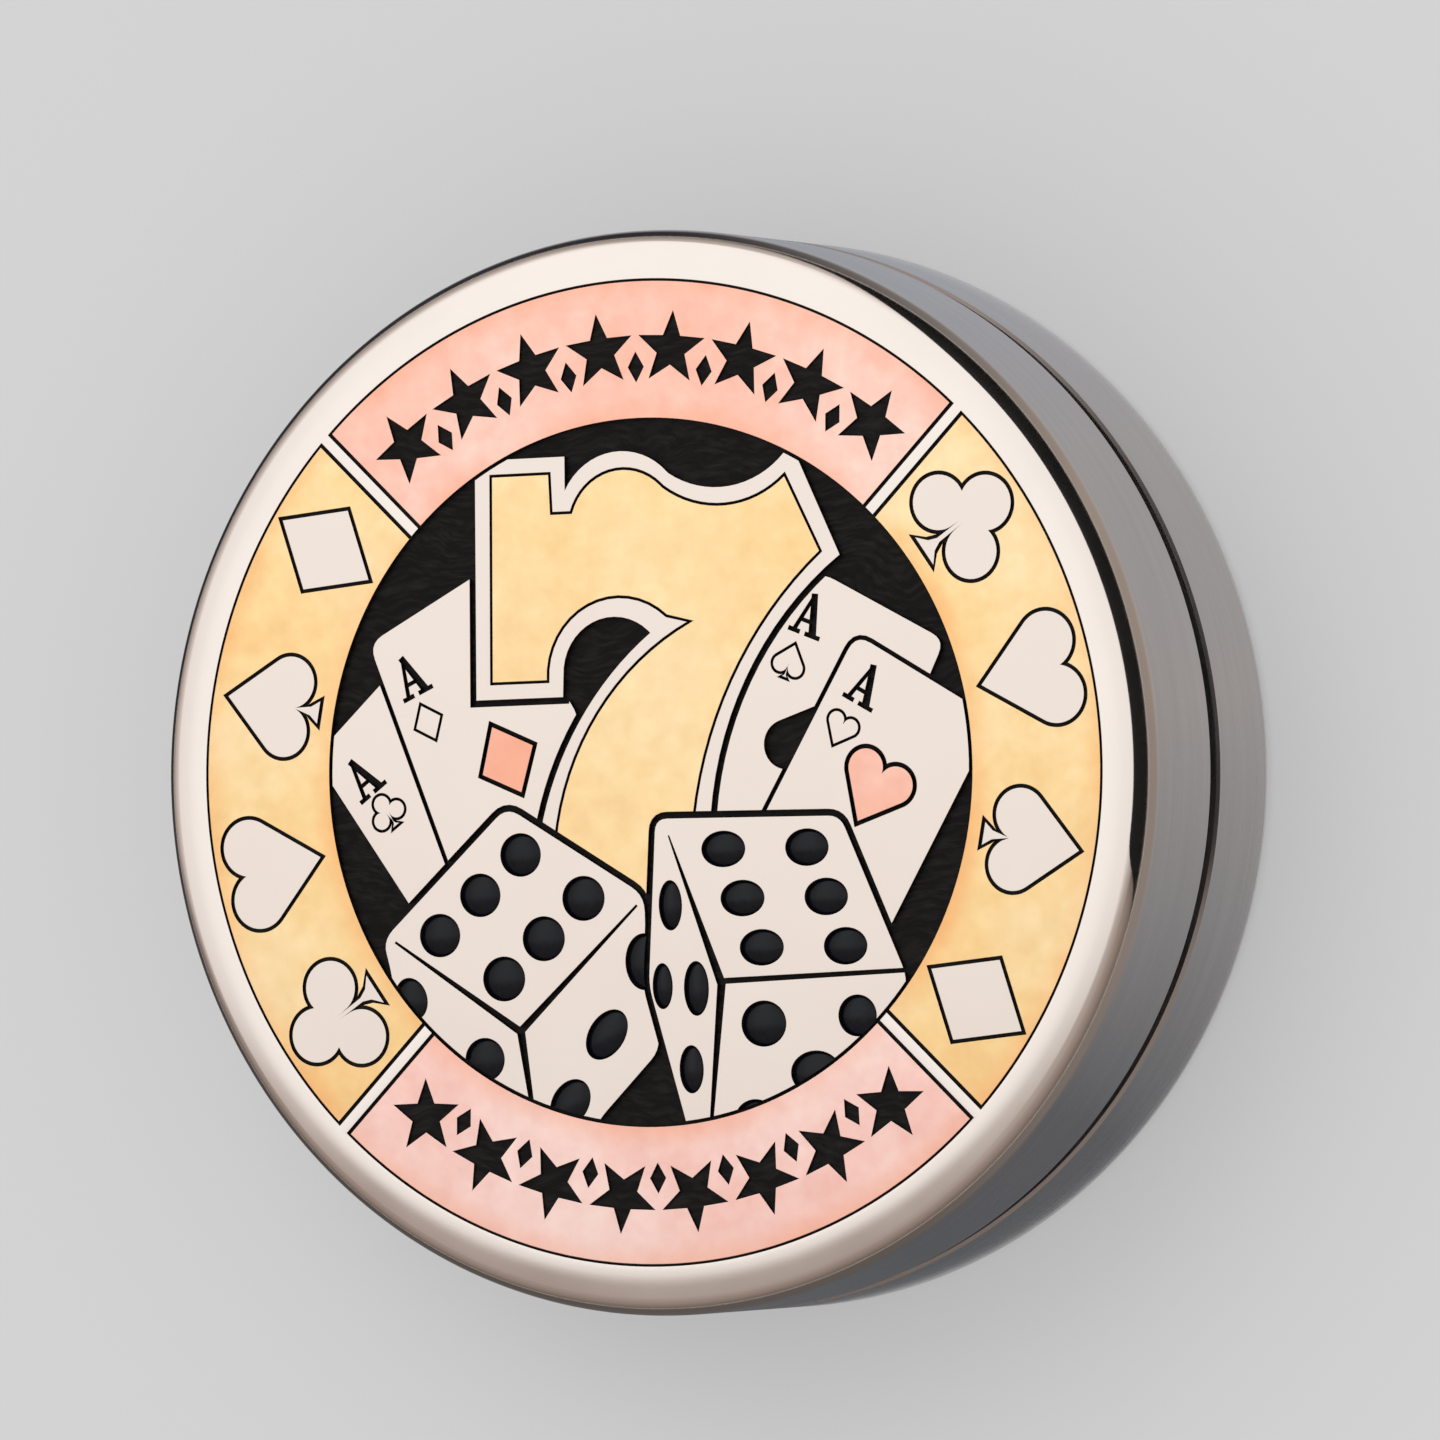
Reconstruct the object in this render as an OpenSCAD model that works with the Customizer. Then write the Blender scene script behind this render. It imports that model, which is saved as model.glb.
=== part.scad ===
// Dealer button: two steel halves that turn on each other with magnetic steps.
// Units mm. It lies flat on its back: +Z leaves the decorated face, +Y is the top of the art,
// and the origin is the centre of the back face.

/* [Body] */
// Outside diameter of both halves
body_d = 50; // [40:0.5:60]
// Thickness of the rear half
rear_h = 6.7; // [6:0.1:8]
// Open seam between the halves
seam_gap = 0.9; // [0.6:0.1:1.2]
// Thickness of the front half
front_h = 7.4; // [7:0.1:9]
// Rounding where the faces meet the side wall
edge_r = 1.05; // [0.3:0.05:1.5]
// Chamfer on the two lips of the seam
lip_chamfer = 0.15; // [0.05:0.05:0.3]
// Thickness of the side wall
wall_t = 3.5; // [2.5:0.1:4]
// Thickness of the rear half's floor
floor_t = 2; // [1.8:0.1:2.5]
// Thickness of the front half's decorated wall
face_t = 2.2; // [2:0.1:2.5]

/* [Ball track] */
// Radius of the ring of balls
track_r = 12; // [11.8:0.1:12.4]
// Ball diameter
ball_d = 2.5; // [2:0.1:2.6]
// Number of balls in the track
ball_count = 12; // [8:1:14]
// Thickness of each track plate
plate_t = 1.5; // [1.3:0.1:1.6]
// How far the plates and magnet rings sit below the seam lips
plate_recess = 0.2; // [0.1:0.05:0.3]
// Inner radius of the rear track plate
rear_plate_in_r = 7.2; // [7:0.1:7.4]
// Inner radius of the front track plate, which holds the bearing in
front_plate_in_r = 5.7; // [5.5:0.1:5.8]
// Outer radius of both track plates
plate_out_r = 14.4; // [14:0.1:14.6]
// Room around each ball in its groove and cage hole
ball_clear = 0.1; // [0.05:0.01:0.15]
// Thickness of the ball cage
cage_t = 0.7; // [0.5:0.1:0.8]
// Radial width of the ball cage
cage_w = 3.6; // [3.2:0.1:4]

/* [Magnets] */
// Radius of the circle the magnets stand on
magnet_pc_r = 17.9; // [17.5:0.1:18.2]
// Magnet diameter
magnet_d = 5; // [4:0.5:5]
// Magnet length
magnet_t = 2.5; // [2:0.5:3]
// Magnets in each half
magnet_count = 12; // [8:2:12]
// Glue gap around a magnet
magnet_clear = 0.05; // [0.02:0.01:0.1]
// Radial gap between a magnet ring and the parts beside it
ring_clear = 0.05; // [0.02:0.01:0.1]

/* [Bearing] */
// Bore radius of the small ball bearing
bearing_in_r = 4; // [3.5:0.5:4]
// Outside radius of the bearing
bearing_out_r = 6; // [5.5:0.5:6]
// Width of the bearing
bearing_w = 3.5; // [3:0.5:3.5]
// Diameter of the bearing's balls
bearing_ball_d = 1.2; // [1:0.1:1.2]
// Number of bearing balls
bearing_ball_count = 12; // [8:1:12]
// Radial thickness of each bearing ring at its shoulder
race_t = 0.6; // [0.5:0.05:0.7]
// Running room of the bearing's balls
bearing_clear = 0.03; // [0.02:0.01:0.05]
// Thickness of a bearing shield
shield_t = 0.15; // [0.1:0.05:0.2]

/* [Post] */
// Radial room between the post and the bearing that lifts off it
post_clear = 0.03; // [0.02:0.01:0.05]
// Radius of the post below the bearing
post_r = 5; // [4.8:0.1:5.2]
// Radius of the post's foot
post_foot_r = 6.2; // [5.8:0.1:6.4]
// Thickness of the post's foot
post_foot_t = 1.2; // [1:0.1:1.6]
// Radius of the spigot on the floor that centres the post
spigot_r = 3.4; // [3:0.1:3.6]
// Height of that spigot
spigot_h = 3; // [2:0.1:3.5]
// Gap between the spigot and the post that slips over it
spigot_clear = 0.03; // [0.02:0.01:0.05]
// Thickness of the shim washer under the bearing
shim_t = 0.3; // [0.2:0.05:0.4]

/* [Screws] */
// Diameter of the small countersunk screws
small_screw_d = 1.6; // [1.4:0.1:1.8]
// Head diameter of the small screws
small_head_d = 2.8; // [2.6:0.1:3]
// Length of the track plate screws
plate_screw_l = 4; // [3:0.5:4]
// Length of the rear magnet ring's screws
rear_ring_screw_l = 5.5; // [5:0.5:5.5]
// Length of the front magnet ring's screws
front_ring_screw_l = 6; // [5.5:0.5:6]
// Screws in each track plate
plate_screws = 4; // [3:1:6]
// Screws in each magnet ring
ring_screws = 6; // [3:3:6]
// Radius of the circle of track plate screws
plate_screw_r = 8.9; // [8.8:0.1:9]
// Diameter of the centre screw
centre_screw_d = 3; // [2.5:0.5:3]
// Head diameter of the centre screw
centre_head_d = 5.5; // [5:0.1:5.6]
// Head height of the centre screw
centre_head_h = 3; // [2.5:0.1:3]

/* [Face art] */
// Radius of the line around the art
art_r = 22.65; // [22:0.05:23]
// Radius of the sunk picture in the middle
picture_r = 16.3; // [16:0.1:16.6]
// Depth of the sunk picture
picture_depth = 0.3; // [0.2:0.05:0.4]
// Depth of the engraved lines
line_depth = 0.15; // [0.1:0.05:0.25]
// Width of an engraved line
line_w = 0.18; // [0.12:0.02:0.3]
// Width of the plain strips between the four fields
strip_w = 0.5; // [0.4:0.05:0.8]
// Radius on which the suit marks stand
suit_r = 19.5; // [19:0.1:20]
// Angle between neighbouring suit marks
suit_step = 22.65; // [22:0.05:23]
// Radius on which the star border stands
star_ring_r = 19.5; // [19:0.1:20]
// Stars in each row of the border
star_count = 8; // [6:1:8]
// Tip radius of a border star
star_r = 1.75; // [1.2:0.05:1.8]
// Angle between neighbouring stars
star_step = 10.6; // [10:0.1:11]

/* [Hidden] */

// cut tools reach this far past a face so no skin is left
cut = 0.1;
// facets of a full circle
$fn = 96;

body_r = body_d / 2;
cavity_r = body_r - wall_t;
front_z = rear_h + seam_gap;
total_h = front_z + front_h;
rear_plate_top = rear_h - plate_recess;
rear_plate_z = rear_plate_top - plate_t;
front_plate_z = front_z + plate_recess;
front_plate_top = front_plate_z + plate_t;
roof_z = total_h - face_t;
track_z = (rear_plate_top + front_plate_z) / 2;
ball_r = ball_d / 2;
groove_r = ball_r + ball_clear;

ring_in_r = plate_out_r + ring_clear;
ring_out_r = cavity_r - ring_clear;
rear_ring_h = rear_plate_top - floor_t;
front_ring_h = roof_z - front_plate_z;
// the magnets sit this far below the faces of their rings
magnet_sink = 0.1;

bearing_z = front_plate_top;
bearing_mid_z = bearing_z + bearing_w / 2;
bearing_mid_r = (bearing_in_r + bearing_out_r) / 2;
bearing_ball_r = bearing_ball_d / 2;
race_groove_r = bearing_ball_r + bearing_clear;
inner_land_r = bearing_in_r + race_t;
outer_land_r = bearing_out_r - race_t;
// depth and radius of the seats the shields are pressed into
shield_seat_t = 0.25;
shield_out_r = outer_land_r + 0.15;
shield_in_r = inner_land_r + 0.06;

journal_r = bearing_in_r - post_clear;
post_top = bearing_z + bearing_w - 0.4;
shim_z = bearing_z - shim_t;
// the post stops this far below the shim washer
post_shoulder_gap = 0.05;
post_shoulder_z = shim_z - post_shoulder_gap;
spigot_top = floor_t + spigot_h;
centre_head_z = post_top - centre_head_h - 0.1;
centre_hole_depth = 1.2;

// the hex drive of a small screw, across its corners, and its depth
drive_d = 1.1;
drive_depth = 0.5;

// ---------------------------------------------------------------- shared shapes

module ring(out_r, in_r, z, h) {
    translate([0, 0, z])
        difference() {
            cylinder(r = out_r, h = h);
            translate([0, 0, -cut]) cylinder(r = in_r, h = h + 2 * cut);
        }
}

module around(count, radius, start = 0) {
    for (i = [0 : count - 1])
        rotate(start + i * 360 / count) translate([radius, 0, 0]) children();
}

// half section of a cup that stands on its rounded edge
module cup_section(h) {
    translate([0, edge_r]) square([body_r, h - edge_r]);
    square([body_r - edge_r, edge_r + cut]);
    translate([body_r - edge_r, edge_r]) circle(r = edge_r);
}

// a cup with its cavity and the raised land that carries the track plate
module cup(h, wall_floor, land_top, land_in_r) {
    rotate_extrude()
        difference() {
            intersection() {
                cup_section(h);
                square([body_r, h]);
            }
            translate([plate_out_r, wall_floor]) square([cavity_r - plate_out_r, h]);
            translate([0, land_top]) square([plate_out_r + cut, h]);
            translate([0, wall_floor]) square([land_in_r, h]);
            translate([body_r, h])
                polygon([[cut, cut], [-lip_chamfer - cut, cut], [cut, -lip_chamfer - cut]]);
        }
}

// countersunk screw, head up, its top face at z = 0
module small_screw(length) {
    head_h = (small_head_d - small_screw_d) / 2;
    difference() {
        union() {
            translate([0, 0, -head_h])
                cylinder(d1 = small_screw_d, d2 = small_head_d, h = head_h);
            translate([0, 0, -length]) cylinder(d = small_screw_d, h = length - head_h);
        }
        translate([0, 0, -drive_depth]) cylinder(d = drive_d, h = drive_depth + cut, $fn = 6);
    }
}
// the hole a small screw needs, its countersink reaching past z = 0
module small_screw_hole(length) {
    head_h = (small_head_d - small_screw_d) / 2;
    translate([0, 0, -head_h])
        cylinder(d1 = small_screw_d, d2 = small_head_d, h = head_h);
    translate([0, 0, -cut / 10]) cylinder(d = small_head_d, h = cut);
    translate([0, 0, -length - cut]) cylinder(d = small_screw_d, h = length);
}

module ball_groove() {
    translate([0, 0, track_z])
        rotate_extrude() translate([track_r, 0]) circle(r = groove_r);
}

// ---------------------------------------------------------------- rear half

module rear_shell() {
    color("silver")
        difference() {
            union() {
                cup(rear_h, floor_t, rear_plate_z, rear_plate_in_r);
                translate([0, 0, floor_t - cut]) cylinder(r = spigot_r, h = spigot_h + cut);
            }
            translate([0, 0, centre_hole_depth - cut])
                cylinder(d = centre_screw_d, h = spigot_top);
            around(plate_screws, plate_screw_r)
                translate([0, 0, rear_plate_top]) small_screw_hole(plate_screw_l);
            around(ring_screws, magnet_pc_r, 180 / magnet_count)
                translate([0, 0, rear_plate_top]) small_screw_hole(rear_ring_screw_l);
        }
}

module rear_track_plate() {
    color("gainsboro")
        difference() {
            ring(plate_out_r, rear_plate_in_r, rear_plate_z, plate_t);
            ball_groove();
            around(plate_screws, plate_screw_r)
                translate([0, 0, rear_plate_top]) small_screw_hole(plate_screw_l);
        }
}

module rear_plate_screws() {
    color("dimgray")
        around(plate_screws, plate_screw_r)
            translate([0, 0, rear_plate_top]) small_screw(plate_screw_l);
}

module rear_magnet_ring() {
    color("goldenrod")
        difference() {
            ring(ring_out_r, ring_in_r, floor_t, rear_ring_h);
            around(magnet_count, magnet_pc_r)
                translate([0, 0, rear_plate_top - magnet_sink - magnet_t])
                    cylinder(d = magnet_d + 2 * magnet_clear, h = magnet_t + magnet_sink + cut);
            around(ring_screws, magnet_pc_r, 180 / magnet_count)
                translate([0, 0, rear_plate_top]) small_screw_hole(rear_ring_screw_l);
        }
}

module rear_magnets() {
    color("lightgray")
        around(magnet_count, magnet_pc_r)
            translate([0, 0, rear_plate_top - magnet_sink - magnet_t])
                cylinder(d = magnet_d, h = magnet_t);
}

module rear_ring_screws() {
    color("dimgray")
        around(ring_screws, magnet_pc_r, 180 / magnet_count)
            translate([0, 0, rear_plate_top]) small_screw(rear_ring_screw_l);
}

module centre_post() {
    color("silver")
        difference() {
            union() {
                translate([0, 0, floor_t]) cylinder(r = post_foot_r, h = post_foot_t);
                translate([0, 0, floor_t]) cylinder(r = post_r, h = post_shoulder_z - floor_t);
                translate([0, 0, floor_t]) cylinder(r = journal_r, h = post_top - floor_t);
            }
            translate([0, 0, floor_t - cut])
                cylinder(r = spigot_r + spigot_clear, h = spigot_h + spigot_clear + cut);
            translate([0, 0, floor_t]) cylinder(d = centre_screw_d, h = total_h);
            translate([0, 0, centre_head_z]) cylinder(d = centre_head_d, h = total_h);
        }
}

module centre_screw() {
    // the hex socket's size across its corners and its depth
    socket_d = 2.9;
    socket_depth = 1.6;
    color("dimgray")
        difference() {
            union() {
                translate([0, 0, centre_head_z]) cylinder(d = centre_head_d, h = centre_head_h);
                translate([0, 0, centre_hole_depth])
                    cylinder(d = centre_screw_d, h = centre_head_z - centre_hole_depth + cut);
            }
            translate([0, 0, centre_head_z + centre_head_h - socket_depth])
                cylinder(d = socket_d, h = socket_depth + cut, $fn = 6);
        }
}

// ---------------------------------------------------------------- ball track

module track_balls() {
    color("white")
        around(ball_count, track_r) translate([0, 0, track_z]) sphere(r = ball_r);
}

module track_cage() {
    color("darkkhaki")
        difference() {
            ring(track_r + cage_w / 2, track_r - cage_w / 2, track_z - cage_t / 2, cage_t);
            around(ball_count, track_r)
                translate([0, 0, track_z - cage_t]) cylinder(r = groove_r, h = 2 * cage_t);
        }
}

// ---------------------------------------------------------------- bearing

module shim_washer() {
    color("khaki") ring(inner_land_r, bearing_in_r, shim_z, shim_t);
}

module bearing_inner_ring() {
    color("lightsteelblue")
        rotate_extrude()
            difference() {
                translate([bearing_in_r, bearing_z]) square([race_t, bearing_w]);
                translate([bearing_mid_r, bearing_mid_z]) circle(r = race_groove_r);
            }
}

module bearing_outer_ring() {
    seat_z = [bearing_z - cut, bearing_z + bearing_w - shield_seat_t];
    color("lightsteelblue")
        rotate_extrude()
            difference() {
                translate([outer_land_r, bearing_z]) square([race_t, bearing_w]);
                translate([bearing_mid_r, bearing_mid_z]) circle(r = race_groove_r);
                for (z = seat_z)
                    translate([outer_land_r - cut, z])
                        square([shield_out_r - outer_land_r + cut, shield_seat_t + cut]);
            }
}

module bearing_shields() {
    color("gray")
        for (z = [bearing_z + shield_seat_t - shield_t, bearing_z + bearing_w - shield_seat_t])
            ring(shield_out_r, shield_in_r, z, shield_t);
}

module bearing_balls() {
    color("white")
        around(bearing_ball_count, bearing_mid_r)
            translate([0, 0, bearing_mid_z]) sphere(r = bearing_ball_r);
}

module bearing_cage() {
    // the cage is a narrow ring, a little taller than the balls it spaces
    web_w = 0.44;
    web_h = 1.7;
    color("saddlebrown")
        difference() {
            ring(bearing_mid_r + web_w / 2, bearing_mid_r - web_w / 2,
                 bearing_mid_z - web_h / 2, web_h);
            around(bearing_ball_count, bearing_mid_r)
                translate([0, 0, bearing_mid_z]) sphere(r = race_groove_r);
        }
}

// ---------------------------------------------------------------- front half

module front_track_plate() {
    color("gainsboro")
        difference() {
            ring(plate_out_r, front_plate_in_r, front_plate_z, plate_t);
            ball_groove();
            around(plate_screws, plate_screw_r)
                translate([0, 0, front_plate_z]) mirror([0, 0, 1]) small_screw_hole(plate_screw_l);
        }
}

module front_plate_screws() {
    color("dimgray")
        around(plate_screws, plate_screw_r)
            translate([0, 0, front_plate_z]) mirror([0, 0, 1]) small_screw(plate_screw_l);
}

module front_magnet_ring() {
    color("goldenrod")
        difference() {
            ring(ring_out_r, ring_in_r, front_plate_z, front_ring_h);
            around(magnet_count, magnet_pc_r)
                translate([0, 0, front_plate_z - cut])
                    cylinder(d = magnet_d + 2 * magnet_clear, h = magnet_t + magnet_sink + cut);
            around(ring_screws, magnet_pc_r, 180 / magnet_count)
                translate([0, 0, front_plate_z]) mirror([0, 0, 1]) small_screw_hole(front_ring_screw_l);
        }
}

module front_magnets() {
    color("lightgray")
        around(magnet_count, magnet_pc_r)
            translate([0, 0, front_plate_z + magnet_sink]) cylinder(d = magnet_d, h = magnet_t);
}

module front_ring_screws() {
    color("dimgray")
        around(ring_screws, magnet_pc_r, 180 / magnet_count)
            translate([0, 0, front_plate_z]) mirror([0, 0, 1]) small_screw(front_ring_screw_l);
}

module front_shell() {
    color("silver")
        difference() {
            translate([0, 0, total_h]) mirror([0, 0, 1])
                cup(front_h, face_t, total_h - front_plate_top, bearing_out_r);
            // relief above the bearing so only its outer ring meets the roof
            translate([0, 0, roof_z - cut]) cylinder(r = outer_land_r, h = 2 * cut);
            around(plate_screws, plate_screw_r)
                translate([0, 0, front_plate_z]) mirror([0, 0, 1]) small_screw_hole(plate_screw_l);
            around(ring_screws, magnet_pc_r, 180 / magnet_count)
                translate([0, 0, front_plate_z]) mirror([0, 0, 1]) small_screw_hole(front_ring_screw_l);
            translate([0, 0, total_h - line_depth]) linear_extrude(line_depth + cut) engraving();
            translate([0, 0, total_h - picture_depth])
                linear_extrude(picture_depth + cut)
                    difference() {
                        circle(r = picture_r);
                        picture_islands();
                    }
        }
}

// ---------------------------------------------------------------- face art, in plan

// points along the circle through a, b and c, from a to c
function arc3(a, b, c, steps = 12) =
    let (
        d = 2 * (a.x * (b.y - c.y) + b.x * (c.y - a.y) + c.x * (a.y - b.y)),
        sa = a * a,
        sb = b * b,
        sc = c * c,
        m = [(sa * (b.y - c.y) + sb * (c.y - a.y) + sc * (a.y - b.y)) / d,
             (sa * (c.x - b.x) + sb * (a.x - c.x) + sc * (b.x - a.x)) / d],
        r = norm(a - m),
        t0 = atan2(a.y - m.y, a.x - m.x),
        tb = wrap(atan2(b.y - m.y, b.x - m.x) - t0),
        tc = wrap(atan2(c.y - m.y, c.x - m.x) - t0),
        sweep = tb < tc ? tc : tc - 360
    )
    [for (i = [0 : steps]) m + r * [cos(t0 + sweep * i / steps), sin(t0 + sweep * i / steps)]];

function wrap(angle) = angle < 0 ? angle + 360 : angle;

// where the right-hand tangent from p = [0, y] meets a circle at c
function tangent_point(p, c, r) =
    let (
        v = c - p,
        base = atan2(v.y, v.x),
        spread = asin(r / norm(v)),
        side = v.y > 0 ? -1 : 1
    )
    p + sqrt(v * v - r * r) * [cos(base + side * spread), sin(base + side * spread)];

// a straight line that tapers from width w0 at a to width w1 at b
module stroke(a, b, w0, w1) {
    along = (b - a) / norm(b - a);
    side = [-along.y, along.x] / 2;
    polygon([a + side * w0, a - side * w0, b - side * w1, b + side * w1]);
}

// two lobes and the point they run into; the heart and the spade share it
module lobes_and_tip(lobe_x, lobe_y, lobe_r, tip_y) {
    touch = tangent_point([0, tip_y], [lobe_x, lobe_y], lobe_r);
    for (side = [-1, 1]) translate([side * lobe_x, lobe_y]) circle(r = lobe_r, $fn = 32);
    polygon([[0, tip_y], touch, [lobe_x, lobe_y], [0, lobe_y + lobe_r * sign(lobe_y - tip_y) / 3],
             [-lobe_x, lobe_y], [-touch.x, touch.y]]);
}

module heart() {
    lobes_and_tip(1.25, 1.22, 1.42, -2.45);
}

module stem(top_y, foot_y, foot_w) {
    polygon([[0, top_y], [-foot_w / 2, foot_y], [foot_w / 2, foot_y]]);
}

module spade() {
    lobes_and_tip(1.15, -0.75, 1.3, 2.5);
    stem(-0.9, -2.5, 1.36);
}

module club() {
    lobe_r = 1.38;
    translate([0, 1.35]) circle(r = lobe_r, $fn = 32);
    for (side = [-1, 1]) translate([side * 1.4, -0.5]) circle(r = lobe_r, $fn = 32);
    polygon([[-0.6, 0.6], [0.6, 0.6], [0, -1.2]]);
    stem(0, -2.45, 1.86);
}

module diamond() {
    polygon([[0, 2.78], [2.27, 0], [0, -2.78], [-2.27, 0]]);
}

// the outline of a mark, centred on its edge
module outline_of(width) {
    difference() {
        offset(delta = width / 2) children();
        offset(delta = -width / 2) children();
    }
}

// places its child on the suit circle, its top outward
module at_suit(angle) {
    rotate(angle - 90) translate([0, suit_r]) children();
}

module suit_outlines() {
    for (turn = [0, 180])
        rotate(turn) {
            at_suit(1.5 * suit_step) outline_of(line_w) club();
            at_suit(0.5 * suit_step) outline_of(line_w) heart();
            at_suit(-0.5 * suit_step) outline_of(line_w) spade();
            at_suit(-1.5 * suit_step) outline_of(line_w) diamond();
        }
}

// a five-pointed star with one point up
module star() {
    // share of the tip radius at which two points meet
    inner = 0.42;
    polygon([for (i = [0 : 9]) star_r * (i % 2 == 0 ? 1 : inner) * [sin(i * 36), cos(i * 36)]]);
}

module lozenge() {
    polygon([[0, 0.7], [0.4, 0], [0, -0.7], [-0.4, 0]]);
}

// a row of stars, with a lozenge in the wider gap below each two of them
module star_border(count) {
    lozenge_ring_r = star_ring_r - 0.85;
    for (i = [0 : count - 1])
        rotate((i - (count - 1) / 2) * star_step) translate([0, star_ring_r]) star();
    for (i = [0 : count - 2])
        rotate((i - (count - 2) / 2) * star_step) translate([0, lozenge_ring_r]) lozenge();
}

module field_lines() {
    difference() {
        circle(r = art_r + line_w / 2);
        circle(r = art_r - line_w / 2);
    }
    for (quarter = [45 : 90 : 315], side = [-1, 1])
        rotate(quarter)
            translate([picture_r - line_w, side * (strip_w + line_w) / 2 - line_w / 2])
                square([art_r - picture_r + line_w, line_w]);
}

module engraving() {
    field_lines();
    suit_outlines();
    for (turn = [0, 180]) rotate(turn) star_border(star_count);
    picture_lines();
}

// ---- the picture: a seven, four cards and two dice

// the plain border of the seven
function seven_outline() = concat(
    [[-8.6, 3.6], [-8.35, 14.7], [-3.75, 14.7]],
    arc3([-3.78, 13.15], [-1.1, 14.82], [1.45, 13.75]),
    arc3([1.5, 13.7], [4.1, 12.95], [7.35, 14.4]),
    [[8, 14.15]],
    arc3([10, 9.6], [5.9, 5.4], [3.1, -3]),
    [[2.6, -6], [-5.5, -6]],
    arc3([-5.5, -2.6], [-3.65, 2], [0.35, 6.4]),
    arc3([0.25, 6.5], [-1.4, 7.2], [-4.1, 4.6]),
    [[-4.15, 3.6]]
);

// the coloured field inside that border
function seven_field() = concat(
    [[-7.8, 4.35], [-7.55, 13.95], [-4.55, 13.95], [-4.5, 12.1]],
    arc3([-3.5, 12.1], [-1.1, 14], [1.1, 13.2]),
    arc3([1.2, 13.1], [4.1, 12.15], [7.35, 13.4]),
    arc3([9.05, 9.8], [4.6, 4.5], [2.2, -3]),
    [[2, -6], [-4.7, -6]],
    arc3([-4.75, -3], [-2.3, 3], [2.4, 6.85]),
    arc3([1.2, 7.15], [-1.3, 8.12], [-4.9, 4.35])
);

module seven() {
    polygon(seven_outline());
}

module left_front_card() {
    polygon([[-10.1, -4.2], [-13.8, 6], [-13.55, 6.6], [-8, 9.6], [-4, 3.5], [-3.55, 2.8], [-5, -5]]);
}

module left_back_card() {
    polygon([[-17, 1.3], [-13.6, 4.5], [-9, 2], [-9.5, -6], [-12, -6.2], [-17, 1.2]]);
}

module right_front_card() {
    polygon([[5.3, -2.6], [10.1, 5.3], [10.6, 5.85], [11.3, 5.8], [17, 2.3], [16.3, 0], [11.5, -8]]);
}

module right_back_card() {
    polygon([[3, -3], [5, 8], [9.3, 8.7], [14.5, 6.05], [14.8, 5.5], [13.5, 2.5], [8, -3]]);
}

module left_die() {
    polygon([[-13.5, -7.1], [-8.1, -2], [-7.2, -1.75], [-6.3, -2], [-1, -5.3], [-0.25, -6.2],
             [-0.3, -9.8], [0.35, -12.7], [-3, -16], [-12, -15], [-13.4, -8]]);
}

module right_die() {
    polygon([[0.35, -3], [0.9, -2.2], [9.2, -2.35], [9.9, -2.8], [12.55, -9.5], [12.6, -12],
             [8, -16], [1.6, -16.5], [-0.2, -9.8]]);
}

module die_edges() {
    stroke([-13.1, -7.45], [-6.8, -11.75], 0.08, 0.35);
    stroke([-0.7, -6.1], [-6.8, -11.75], 0.08, 0.35);
    stroke([-6.8, -11.6], [-6.3, -15.4], 0.4, 0.2);
    stroke([1, -2.95], [3.45, -9.75], 0.05, 0.4);
    stroke([12.6, -9.45], [3.45, -9.7], 0.2, 0.25);
    stroke([3.5, -9.6], [2.75, -16.2], 0.4, 0.15);
}

// an oval pip, its long side turned by angle
module pip(x, y, rx, ry, angle = 0) {
    translate([x, y]) rotate(angle)
        polygon([for (i = [0 : 23]) [rx * cos(i * 15), ry * sin(i * 15)]]);
}

module pips() {
    for (i = [0 : 2]) {
        pip(-6.55 - 2.12 * i, -3.6 - 1.8 * i, 1.03, 1);
        pip(-3.4 - 2.08 * i, -5.7 - 1.8 * i, 1.07, 1.03);
        pip(3.75 + 0.9 * i, -3.65 - 2.28 * i, 1.1, 0.83);
        pip(7.95 + 0.9 * i, -3.7 - 2.28 * i, 1.08, 0.85);
    }
    pip(-12.35, -10.1, 0.8, 1, 20);
    pip(-8.65, -13, 1, 1);
    pip(-2.4, -12, 1.3, 0.88, 50);
    pip(-4.35, -15.1, 1.2, 0.9, 50);
    pip(-0.4, -8.7, 0.95, 1.3);
    pip(1, -6.15, 0.58, 1.15);
    pip(0.5, -9.85, 0.5, 1.05);
    pip(2.2, -10, 0.62, 1.25);
    pip(1.85, -13.7, 0.6, 1.1);
    pip(5.55, -11.7, 1.12, 1.05);
    pip(10.25, -11.45, 0.95, 0.95);
    pip(8.1, -14, 1.25, 1);
    pip(5, -16, 1, 0.85);
}

// the capital on a card's corner
module ace_mark() {
    stroke([0.05, 0.95], [-0.45, -0.8], 0.12, 0.12);
    stroke([0, 1], [0.5, -0.8], 0.3, 0.32);
    stroke([-0.35, -0.3], [0.4, -0.3], 0.14, 0.14);
    stroke([-0.75, -0.88], [-0.15, -0.88], 0.16, 0.16);
    stroke([0.15, -0.88], [0.9, -0.88], 0.16, 0.16);
}

// a card's corner mark with its small suit below
module card_corner(x, y, turn) {
    translate([x, y]) rotate(turn) {
        ace_mark();
        translate([0, -2.15]) scale(0.36) outline_of(line_w / 0.36) children();
    }
}

module picture_lines() {
    outline_of(line_w) polygon(seven_field());
    card_corner(-12, 4.8, 24) diamond();
    card_corner(-14.6, 0.2, 36) club();
    card_corner(8.3, 7, -22) spade();
    card_corner(11.1, 3.55, -30) heart();
    translate([-7.1, 0.85]) rotate(20) outline_of(line_w)
        polygon([[-0.2, 1.85], [1.75, 0.25], [0.2, -1.7], [-1.65, -0.2]]);
    translate([11.3, -0.8]) rotate(-22) scale(0.68) outline_of(line_w / 0.68) heart();
}

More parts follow.
